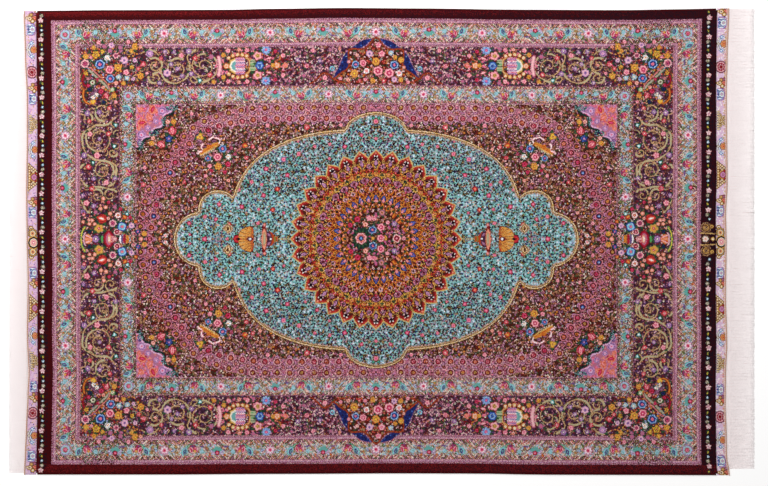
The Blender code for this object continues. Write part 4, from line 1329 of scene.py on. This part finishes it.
MM = 0.001
EDGE_DEPTH = 16 * MM  # every point of a CAD edge is this near the edge's outermost one
RING_GAP = 5 * MM  # a CAD cord's rings of points are further apart than this
DESIGN_MIDDLE = (-0.0171, 0.0078)  # the design isn't quite in the rug's middle
HALF_WIDTH = 0.68  # half the panel's width, or nearly

SQUARES_MAP = "squares"  # its whole numbers are the faces' corners
BAKE_MAP = "OFBake"
# On the bake map: a face's width, its height, and how high its middle is.
BAKED_KNOTS = (0.98, 0.94, 0.48)
BAKED_FAR_FACE = (0.97, 0.03, 0.978)
YARN_SPREAD = 0.07  # how uneven a dye is from knot to knot

FOUNDATION = 1.2 * MM  # the thickness of the back, from the floor to the pile's foot
PILE_GAP = 0.1 * MM  # between the back and the pile
KILIM = 1.6 * MM  # the flat-woven cloth's thickness

LOCKS = 140  # in each fringe
LOCK_SHARE = 0.76  # a CAD lock's width, as a share of the step from lock to lock
LOCK_WIDTH = 8.9 * MM  # from its first thread to its last
LOCK_LEAN = 0.4 * MM  # about how far a lock's end is out of line
THREAD_POINTS = 7
THREAD_WAVE = 0.3 * MM  # about how far a thread's end wanders

PHOTO_COLUMNS = 768
PHOTO_PIXEL = 2.948 * MM  # the width of the photograph's pixel on the floor
PHOTO_MIDDLE = (0.0065, -0.004)
SOFTBOXES = (
    # name, place, size, watts
    ("softbox_far", (-1.5, 2.3, 3.8), 4.0, 232.0),
    ("softbox_near", (-2.4, -1.2, 4.4), 4.0, 43.0),
)


def linear(hex_colour):
    """An sRGB hex colour as linear RGB."""
    values = [int(hex_colour[start : start + 2], 16) / 255 for start in (1, 3, 5)]
    return tuple(v / 12.92 if v <= 0.04045 else ((v + 0.055) / 1.055) ** 2.4 for v in values)


def cad_points(node):
    """The corners of a CAD node's mesh."""
    return np.array([vertex.co for vertex in frame["nodes"][node].data.vertices])


def edge(node, axis, side):
    """One edge of a CAD node: axis is 0 for an end, 1 for a side. The places along it, and out to it."""
    points = cad_points(node)
    out = points[:, axis] * side
    line = points[out > out.max() - EDGE_DEPTH]
    line = line[np.argsort(line[:, 1 - axis])]
    return line[:, 1 - axis], line[:, axis]


def middle_line(node, axis):
    """The line down the middle of a CAD cord."""
    points = cad_points(node)
    points = points[np.argsort(points[:, axis])]
    rings = np.split(points, np.nonzero(np.diff(points[:, axis]) > RING_GAP)[0] + 1)
    return np.array([(ring.min(axis=0) + ring.max(axis=0)) / 2 for ring in rings])


def put_in_scene(name, mesh, material):
    """Makes an object of a mesh, in this material."""
    mesh.materials.append(material)
    piece = bpy.data.objects.new(name, mesh)
    bpy.context.scene.collection.objects.link(piece)
    return piece


def stand_for(piece, node):
    """Puts a piece on the rug in a CAD node's place: hangs it on the root body and hides the node."""
    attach(piece, "root")
    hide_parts(node)


def add_node(tree, kind, inputs=None, **settings):
    """Adds a node. An input is a value, or an output to link from."""
    node = tree.nodes.new(kind)
    for key, value in settings.items():
        setattr(node, key, value)
    for key, value in (inputs or {}).items():
        if isinstance(value, bpy.types.NodeSocket):
            tree.links.new(value, node.inputs[key])
        else:
            node.inputs[key].default_value = value
    return node


def new_material(name, roughness, sheen, specular=0.02):
    """A material with its shader's constant values set."""
    material = bpy.data.materials.new(name)
    material.use_nodes = True
    shader = material.node_tree.nodes["Principled BSDF"]
    shader.inputs["Roughness"].default_value = roughness
    shader.inputs["Sheen Weight"].default_value = sheen
    shader.inputs["Sheen Roughness"].default_value = 0.4
    shader.inputs["Specular IOR Level"].default_value = specular
    return material, material.node_tree, shader


def tied_material(name, roughness, sheen, lay, pitch, depth):
    """Yarn tied or woven square by square: each square of a face shows the colour of its own attribute.

    pitch is the size of the yarns' relief, in metres, and depth is its height.
    """
    material, tree, shader = new_material(name, roughness, sheen)
    squares = add_node(tree, "ShaderNodeUVMap", uv_map=SQUARES_MAP)
    part = add_node(tree, "ShaderNodeVectorMath", {0: squares.outputs["UV"]}, operation="FRACTION")
    axes = add_node(tree, "ShaderNodeSeparateXYZ", {"Vector": part.outputs["Vector"]})
    past = {}
    for axis in "XY":
        for step in range(1, KNOTS_A_FACE):
            inputs = {0: axes.outputs[axis], 1: step / KNOTS_A_FACE}
            past[axis, step] = add_node(tree, "ShaderNodeMath", inputs, operation="GREATER_THAN").outputs[0]

    def chosen(axis, step, before, after):
        inputs = {0: past[axis, step], 6: before, 7: after}
        return add_node(tree, "ShaderNodeMix", inputs, data_type="RGBA").outputs[2]

    colour = None
    for row in range(KNOTS_A_FACE):
        line = None
        for column in range(KNOTS_A_FACE):
            square = add_node(tree, "ShaderNodeAttribute", attribute_name=square_name(row, column))
            square = square.outputs["Color"]
            line = square if line is None else chosen("X", column, line, square)
        colour = line if colour is None else chosen("Y", row, colour, line)
    place = add_node(tree, "ShaderNodeTexCoord").outputs["Object"]
    stretched = add_node(tree, "ShaderNodeMapping", {"Vector": place, "Scale": lay}).outputs["Vector"]
    inputs = {"Vector": stretched, "Scale": 1 / pitch, "Detail": 2.0, "Roughness": 0.6}
    yarns = add_node(tree, "ShaderNodeTexNoise", inputs).outputs["Fac"]
    # Painted shade and highlight: between the yarns the colour is darkened to 0.86 of the dye, and on top of
    # them lightened to 1.12 of it.
    inputs = {"Value": yarns, 1: 0.25, 2: 0.75, 3: 0.86, 4: 1.12}
    shade = add_node(tree, "ShaderNodeMapRange", inputs).outputs[0]
    shaded = add_node(tree, "ShaderNodeVectorMath", {0: colour, 1: shade}, operation="MULTIPLY").outputs[0]
    tree.links.new(shaded, shader.inputs["Base Color"])
    inputs = {"Height": yarns, "Strength": 0.5, "Distance": depth}
    bump = add_node(tree, "ShaderNodeBump", inputs)
    tree.links.new(bump.outputs["Normal"], shader.inputs["Normal"])
    return material


def yarn_material(name, dye, roughness, sheen, pitch, depth, spread):
    """Plain dyed yarn. spread is how uneven its colour is."""
    material, tree, shader = new_material(name, roughness, sheen)
    place = add_node(tree, "ShaderNodeTexCoord").outputs["Object"]
    inputs = {"Vector": place, "Scale": 1 / pitch, "Detail": 3.0, "Roughness": 0.6}
    fibres = add_node(tree, "ShaderNodeTexNoise", inputs).outputs["Fac"]
    colour = (*dye_colour(dye), 1)
    dark, light = ([min(v * (1 + way * spread), 1) for v in colour] for way in (-1, 1))
    inputs = {0: fibres, 6: dark, 7: light}
    mixed = add_node(tree, "ShaderNodeMix", inputs, data_type="RGBA").outputs[2]
    tree.links.new(mixed, shader.inputs["Base Color"])
    bump = add_node(tree, "ShaderNodeBump", {"Height": fibres, "Strength": 0.5, "Distance": depth})
    tree.links.new(bump.outputs["Normal"], shader.inputs["Normal"])
    return material


def square_name(row, column):
    """The attribute that holds the colours of one square of each face."""
    return f"square_{row}_{column}"


def dye_colour(name):
    """A dye's linear RGB, as the sidebar has it."""
    return tuple(getattr(bpy.context.scene.rug_dyes, name))


def woven_sheet(name, paper, place, low, high, material, up=1):
    """A closed sheet from Z = low to high, whose upper (or for up = -1, lower) face carries the paper.

    place(s, t) gives x and y of a point that is at shares s and t of the paper.
    """
    rows, columns = (count // KNOTS_A_FACE for count in paper.squares.shape)
    bm = bmesh.new()
    bmesh.ops.create_grid(bm, x_segments=columns, y_segments=rows, size=0.5)
    lattice = bm.verts.layers.float_vector.new("lattice")
    shares = np.array([vertex.co[:2] for vertex in bm.verts]) + 0.5
    x, y = place(shares[:, 0], shares[:, 1])
    face_z, far_z = (high, low) if up > 0 else (low, high)
    for vertex, (s, t), px, py in zip(bm.verts, shares, x, y):
        vertex[lattice] = (s * columns, t * rows, 0)
        vertex.co = (px, py, face_z)
    rim = [side for side in bm.edges if side.is_boundary]
    softening = min((high - low) * 0.3, 1.2 * MM)
    middle = (np.mean(x), np.mean(y))
    for depth in (softening, high - low):
        made = bmesh.ops.extrude_edge_only(bm, edges=rim)["geom"]
        rim = [part for part in made if isinstance(part, bmesh.types.BMEdge) and part.is_boundary]
        for part in made:
            if isinstance(part, bmesh.types.BMVert):
                part.co.z = face_z - up * depth
                part[lattice].z = depth / (high - low)
    for vertex in bm.verts:  # the sheet's upper edge is drawn in, so that it's rounded
        for axis, count in ((0, columns), (1, rows)):
            if vertex[lattice].z == 0 and vertex[lattice][axis] in (0, count):
                vertex.co[axis] += math.copysign(softening * 0.7, middle[axis] - vertex.co[axis])
    bmesh.ops.contextual_create(bm, geom=rim)
    bmesh.ops.recalc_face_normals(bm, faces=bm.faces)
    squares_map, bake_map = (bm.loops.layers.uv.new(layer) for layer in (SQUARES_MAP, BAKE_MAP))
    for face in bm.faces:
        whole = len(face.verts) > 4
        for loop in face.loops:
            across, along, depth = loop.vert[lattice]
            loop[squares_map].uv = (
                min(max(across, 0.001), columns - 0.001),
                min(max(along, 0.001), rows - 0.001),
            )
            out = 1 + 0.008 * depth  # the sheet's edges lie just round its face
            s, t = ((across / columns - 0.5) * out, (along / rows - 0.5) * out)
            width, height, middle_height = BAKED_FAR_FACE if whole else BAKED_KNOTS
            loop[bake_map].uv = (0.5 + s * width, middle_height + t * height)
        face.smooth = not whole
    mesh = bpy.data.meshes.new(name)
    bm.to_mesh(mesh)
    bm.free()
    tie_squares(mesh, paper, rows, columns)
    return put_in_scene(name, mesh, material)


def tie_squares(mesh, paper, rows, columns):
    """Gives each face the colours of its squares."""
    random = np.random.default_rng(7)
    dyes = np.array([dye_colour(name) for name in YARN])
    colours = np.ones((*paper.squares.shape, 4), np.float32)
    colours[..., :3] = dyes[paper.squares]
    colours[..., :3] *= (1 + YARN_SPREAD * random.standard_normal(paper.squares.shape))[..., None]
    places = np.empty(len(mesh.loops) * 2, np.float32)
    mesh.uv_layers[SQUARES_MAP].uv.foreach_get("vector", places)
    places = places.reshape(-1, 2)
    starts = np.empty(len(mesh.polygons), np.int32)
    mesh.polygons.foreach_get("loop_start", starts)
    counts = np.empty(len(mesh.polygons), np.int32)
    mesh.polygons.foreach_get("loop_total", counts)
    middles = np.add.reduceat(places, starts, axis=0) / counts[:, None]
    column = np.clip(middles[:, 0].astype(int), 0, columns - 1) * KNOTS_A_FACE
    row = np.clip(middles[:, 1].astype(int), 0, rows - 1) * KNOTS_A_FACE
    for down in range(KNOTS_A_FACE):
        for right in range(KNOTS_A_FACE):
            layer = mesh.attributes.new(square_name(down, right), "FLOAT_COLOR", "FACE")
            layer.data.foreach_set("color", colours[row + down, column + right].ravel())


def cords_mesh(name, lines, material, sides=6):
    """Round cords as one mesh: each line is rows of x, y, z and radius."""
    curve = bpy.data.curves.new(name, "CURVE")
    curve.dimensions = "3D"
    curve.bevel_depth = 1.0
    curve.bevel_resolution = sides // 2 - 2
    curve.use_fill_caps = True
    for line in lines:
        spline = curve.splines.new("POLY")
        spline.points.add(len(line) - 1)
        places = np.column_stack([line[:, :3], np.ones(len(line))])
        spline.points.foreach_set("co", places.ravel())
        spline.points.foreach_set("radius", line[:, 3].astype(np.float32))
    holder = bpy.data.objects.new(name, curve)
    bpy.context.scene.collection.objects.link(holder)
    mesh = bpy.data.meshes.new_from_object(holder.evaluated_get(bpy.context.evaluated_depsgraph_get()))
    bpy.data.objects.remove(holder)
    bpy.data.curves.remove(curve)
    bm = bmesh.new()
    bm.from_mesh(mesh)
    bmesh.ops.remove_doubles(bm, verts=bm.verts, dist=1e-7)
    bmesh.ops.recalc_face_normals(bm, faces=bm.faces)
    for face in bm.faces:
        face.smooth = True
    bm.to_mesh(mesh)
    bm.free()
    mesh.name = name
    mesh.materials.clear()
    return put_in_scene(name, mesh, material)


def evenly(line, step):
    """Points a step apart along a line of points."""
    reach = np.concatenate([[0], np.cumsum(np.hypot(*np.diff(line[:, :2], axis=0).T))])
    at = np.linspace(0, reach[-1], int(round(reach[-1] / step)) + 1)
    return np.column_stack([np.interp(at, reach, line[:, axis]) for axis in range(line.shape[1])]), at


class RugSizes(bpy.types.PropertyGroup):
    """The sizes of the yarns."""

    wrap_pitch: FloatProperty(
        name="Wrap pitch", description="From one turn of a selvedge's overcasting to the next",
        default=0.003, min=0.001, unit="LENGTH",
    )
    ply_pitch: FloatProperty(
        name="Ply pitch", description="The length in which an edging's two plies turn once about each other",
        default=0.011, min=0.003, unit="LENGTH",
    )
    threads: IntProperty(
        name="Threads a lock", description="Warp ends in each lock of the fringe", default=7, min=1, max=12,
    )
    thread_diameter: FloatProperty(
        name="Thread", description="The diameter of a warp end", default=0.001, min=0.0002, unit="LENGTH",
    )


def dye_property(name, colour):
    """The property that holds one dye."""
    words = name.replace("_", " ").capitalize()
    return FloatVectorProperty(
        name=words, description=f"The dye of the {words.lower()} yarn", subtype="COLOR", size=3,
        default=linear(colour), min=0, max=1,
    )


class RugDyes(bpy.types.PropertyGroup):
    """The dyes, one property for each row of the table."""

    __annotations__ = {name: dye_property(name, colour) for name, colour in DYES.items()}


def panel_place(s, t):
    """Where the panel's design lies: its middle is off the rug's, and it sways as the CAD outline does."""
    left, right = (edge("panel", 0, side) for side in (-1, 1))
    near, far = (edge("panel", 1, side) for side in (-1, 1))
    middle_x, middle_y = DESIGN_MIDDLE
    y = middle_y + (2 * t - 1) * HALF_WIDTH
    for _ in range(2):  # x is found from y and y from x, so a second time brings both nearer
        end = np.where(s < 0.5, np.interp(y, *left), np.interp(y, *right))
        x = middle_x + np.abs(2 * s - 1) * (end - middle_x)
        side = np.where(t < 0.5, np.interp(x, *near), np.interp(x, *far))
        y = middle_y + np.abs(2 * t - 1) * (side - middle_y)
    return x, y


class RUG_OT_pile(bpy.types.Operator):
    """Ties the panel's knots from the cartoon, and gives it its back"""

    bl_idname = "rug.pile"
    bl_label = "Tie the pile"

    def execute(self, context):
        paper = draw_whole()
        low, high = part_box("panel")
        waist = low[2] + FOUNDATION
        pile = woven_sheet("pile", paper, panel_place, waist, high[2], pile_material())
        back = woven_sheet("back", paper, panel_place, low[2], waist - PILE_GAP, back_material(), up=-1)
        for piece in (pile, back):
            stand_for(piece, "panel")
        return {"FINISHED"}


def pile_material():
    """Cut silk pile: soft and glossy, each knot a tuft, which the eye sees as a fine grain."""
    # Tufts are 0.4 mm wide, too fine to show, so the grain, a relief with painted shade between its yarns, is
    # drawn at 1.6 mm.
    return tied_material(
        "silk_pile", roughness=0.62, sheen=0.08, lay=(1, 1, 1), pitch=1.6 * MM, depth=0.5 * MM,
    )


def back_material():
    """The foundation's underside: the knots' tight backs, in rows across the rug."""
    return tied_material(
        "knot_backs", roughness=0.7, sheen=0.1, lay=(1, 0.4, 1), pitch=1.2 * MM, depth=0.3 * MM,
    )


class RUG_OT_selvedges(bpy.types.Operator):
    """Overcasts the cord along each long side"""

    bl_idname = "rug.selvedges"
    bl_label = "Overcast the selvedges"

    def execute(self, context):
        material = yarn_material(
            "overcast_silk", "maroon", roughness=0.6, sheen=0.1, pitch=1.5 * MM, depth=0.3 * MM, spread=0.12,
        )
        pitch = context.scene.rug_sizes.wrap_pitch
        for name in ("selvedge_far", "selvedge_near"):
            line, at = evenly(middle_line(name, 0), pitch / 2)
            low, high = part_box(name)
            radius = (high[2] - low[2]) / 2
            bulge = radius * np.where(np.arange(len(at)) % 2, 1.0, 0.9)
            inwards = (0, -radius if name == "selvedge_far" else radius, 0)
            cords = [np.column_stack([line + shift, bulge]) for shift in ((0, 0, 0), inwards)]
            piece = cords_mesh(f"overcast_{name}", cords, material, sides=8)
            stand_for(piece, name)
        return {"FINISHED"}


class RUG_OT_kilims(bpy.types.Operator):
    """Weaves the flat band beyond the knots at each end"""

    bl_idname = "rug.kilims"
    bl_label = "Weave the kilims"

    def execute(self, context):
        material = kilim_material()
        for name, side in (("kilim_left", -1), ("kilim_right", 1)):
            low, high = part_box(name)
            left, right = (edge(name, 0, way) for way in (-1, 1))

            def place(s, t):
                y = low[1] + t * (high[1] - low[1])
                return np.interp(y, *left) * (1 - s) + np.interp(y, *right) * s, y

            paper = draw_kilim(side)
            piece = woven_sheet(f"flatweave_{name}", paper, place, low[2], low[2] + KILIM, material)
            stand_for(piece, name)
        return {"FINISHED"}


def kilim_material():
    """Slit-woven silk: flat, and ribbed across by its warps."""
    return tied_material(
        "flat_woven_silk", roughness=0.6, sheen=0.2, lay=(1, 0.5, 1), pitch=1.4 * MM, depth=0.4 * MM,
    )


class RUG_OT_edgings(bpy.types.Operator):
    """Twists the two-ply cord that closes each kilim band"""

    bl_idname = "rug.edgings"
    bl_label = "Twist the edgings"

    def execute(self, context):
        material = yarn_material(
            "twined_silk", "fawn", roughness=0.5, sheen=0.3, pitch=1.5 * MM, depth=0.3 * MM, spread=0.3,
        )
        pitch = context.scene.rug_sizes.ply_pitch
        for name in ("edging_left", "edging_right"):
            line, at = evenly(middle_line(name, 1), pitch / 10)
            low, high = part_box(name)
            radius = (high[2] - low[2]) / 2
            plies = []
            for start in (0, math.pi):
                angle = start + at / pitch * 2 * math.pi
                turn = np.column_stack([np.cos(angle), 0 * angle, np.sin(angle)]) * radius * 0.45
                plies.append(np.column_stack([line + turn, np.full(len(at), radius * 0.55)]))
            piece = cords_mesh(f"plies_{name}", plies, material)
            stand_for(piece, name)
        return {"FINISHED"}


class RUG_OT_fringes(bpy.types.Operator):
    """Lays out the warp ends beyond each edging"""

    bl_idname = "rug.fringes"
    bl_label = "Lay out the fringes"

    def execute(self, context):
        sizes = context.scene.rug_sizes
        material = yarn_material(
            "undyed_silk_warp", "undyed", roughness=0.55, sheen=0.6,
            pitch=2 * MM, depth=0.2 * MM, spread=0.02,
        )
        for name, side, seed in (("fringe_left", -1, 81), ("fringe_right", 1, 82)):
            low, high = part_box(name)
            random = np.random.default_rng(seed)
            radius = sizes.thread_diameter / 2
            root, tip = (high[0], low[0]) if side < 0 else (low[0], high[0])
            threads = []
            for lock in range(LOCKS):
                share = (lock + LOCK_SHARE / 2) / (LOCKS - 1 + LOCK_SHARE)
                middle = low[1] + share * (high[1] - low[1])
                lean = random.normal(0, LOCK_LEAN)
                for thread in range(sizes.threads):
                    spread = (thread / max(sizes.threads - 1, 1) - 0.5) * LOCK_WIDTH
                    reach = random.uniform(0.96, 1.0)
                    t = np.linspace(0, 1, THREAD_POINTS)
                    wave = random.normal(0, THREAD_WAVE, THREAD_POINTS) * t
                    y = middle + spread + lean * t + wave
                    x = root + (tip - root) * t * reach
                    z = low[2] + radius * (1 + 2 * (thread % 2) * (1 - t))
                    threads.append(np.column_stack([x, y, z, radius * (1 - 0.3 * t)]))
            piece = cords_mesh(f"threads_{name}", threads, material, sides=4)
            stand_for(piece, name)
        return {"FINISHED"}


class RUG_OT_stage(bpy.types.Operator):
    """Sets the floor, the lights and the camera"""

    bl_idname = "rug.stage"
    bl_label = "Set the stage"

    def execute(self, context):
        scene = context.scene
        mesh = bpy.data.meshes.new("floor")
        bm = bmesh.new()
        bmesh.ops.create_grid(bm, x_segments=1, y_segments=1, size=6.0)
        bmesh.ops.translate(bm, verts=bm.verts, vec=(0, 0, -0.05 * MM))
        bm.to_mesh(mesh)
        bm.free()
        material, _, shader = new_material("pale_floor", roughness=0.9, sheen=0.0, specular=0.0)
        shader.inputs["Base Color"].default_value = (0.99, 0.98, 0.975, 1)
        shader.inputs["Emission Color"].default_value = (1, 1, 1, 1)
        shader.inputs["Emission Strength"].default_value = 0.3
        floor = put_in_scene("floor", mesh, material)
        for name, place, size, power in SOFTBOXES:
            data = bpy.data.lights.new(name, "AREA")
            data.size = size
            data.energy = power
            lamp = bpy.data.objects.new(name, data)
            lamp.location = place
            # It is turned in along the rug and out across it.
            lamp.rotation_euler = (math.atan2(place[1], place[2]), math.atan2(place[0], place[2]), 0)
            scene.collection.objects.link(lamp)
        world = bpy.data.worlds.new("studio")
        world.use_nodes = True
        world.node_tree.nodes["Background"].inputs["Color"].default_value = (1, 1, 1, 1)
        world.node_tree.nodes["Background"].inputs["Strength"].default_value = 0.31
        scene.world = world
        scene.view_settings.view_transform = "Standard"
        data = bpy.data.cameras.new("camera")
        data.lens = 100.0
        camera = bpy.data.objects.new("camera", data)
        width = PHOTO_COLUMNS * PHOTO_PIXEL
        camera.location = (PHOTO_MIDDLE[0], PHOTO_MIDDLE[1], width * data.lens / data.sensor_width)
        data.clip_end = 50.0
        scene.collection.objects.link(camera)
        scene.camera = camera
        return {"FINISHED"}


class RUG_PT_rug(bpy.types.Panel):
    """The rug's panel in the sidebar"""

    bl_idname = "RUG_PT_rug"
    bl_label = "Knotted silk rug"
    bl_space_type = "VIEW_3D"
    bl_region_type = "UI"
    bl_category = "Rug"

    def draw(self, context):
        for operator in OPERATORS:
            self.layout.operator(operator.bl_idname)
        for group in (context.scene.rug_sizes, context.scene.rug_dyes):
            for name in group.__annotations__:
                self.layout.prop(group, name)


OPERATORS = (RUG_OT_pile, RUG_OT_selvedges, RUG_OT_kilims, RUG_OT_edgings, RUG_OT_fringes, RUG_OT_stage)
CLASSES = (RugSizes, RugDyes, *OPERATORS, RUG_PT_rug)


def register():
    for made in CLASSES:
        bpy.utils.register_class(made)
    bpy.types.Scene.rug_sizes = PointerProperty(type=RugSizes)
    bpy.types.Scene.rug_dyes = PointerProperty(type=RugDyes)


def unregister():
    del bpy.types.Scene.rug_dyes
    del bpy.types.Scene.rug_sizes
    for made in reversed(CLASSES):
        bpy.utils.unregister_class(made)


def main():
    register()
    bpy.ops.rug.pile()
    bpy.ops.rug.selvedges()
    bpy.ops.rug.kilims()
    bpy.ops.rug.edgings()
    bpy.ops.rug.fringes()
    bpy.ops.rug.stage()


if __name__ == "__main__":
    main()
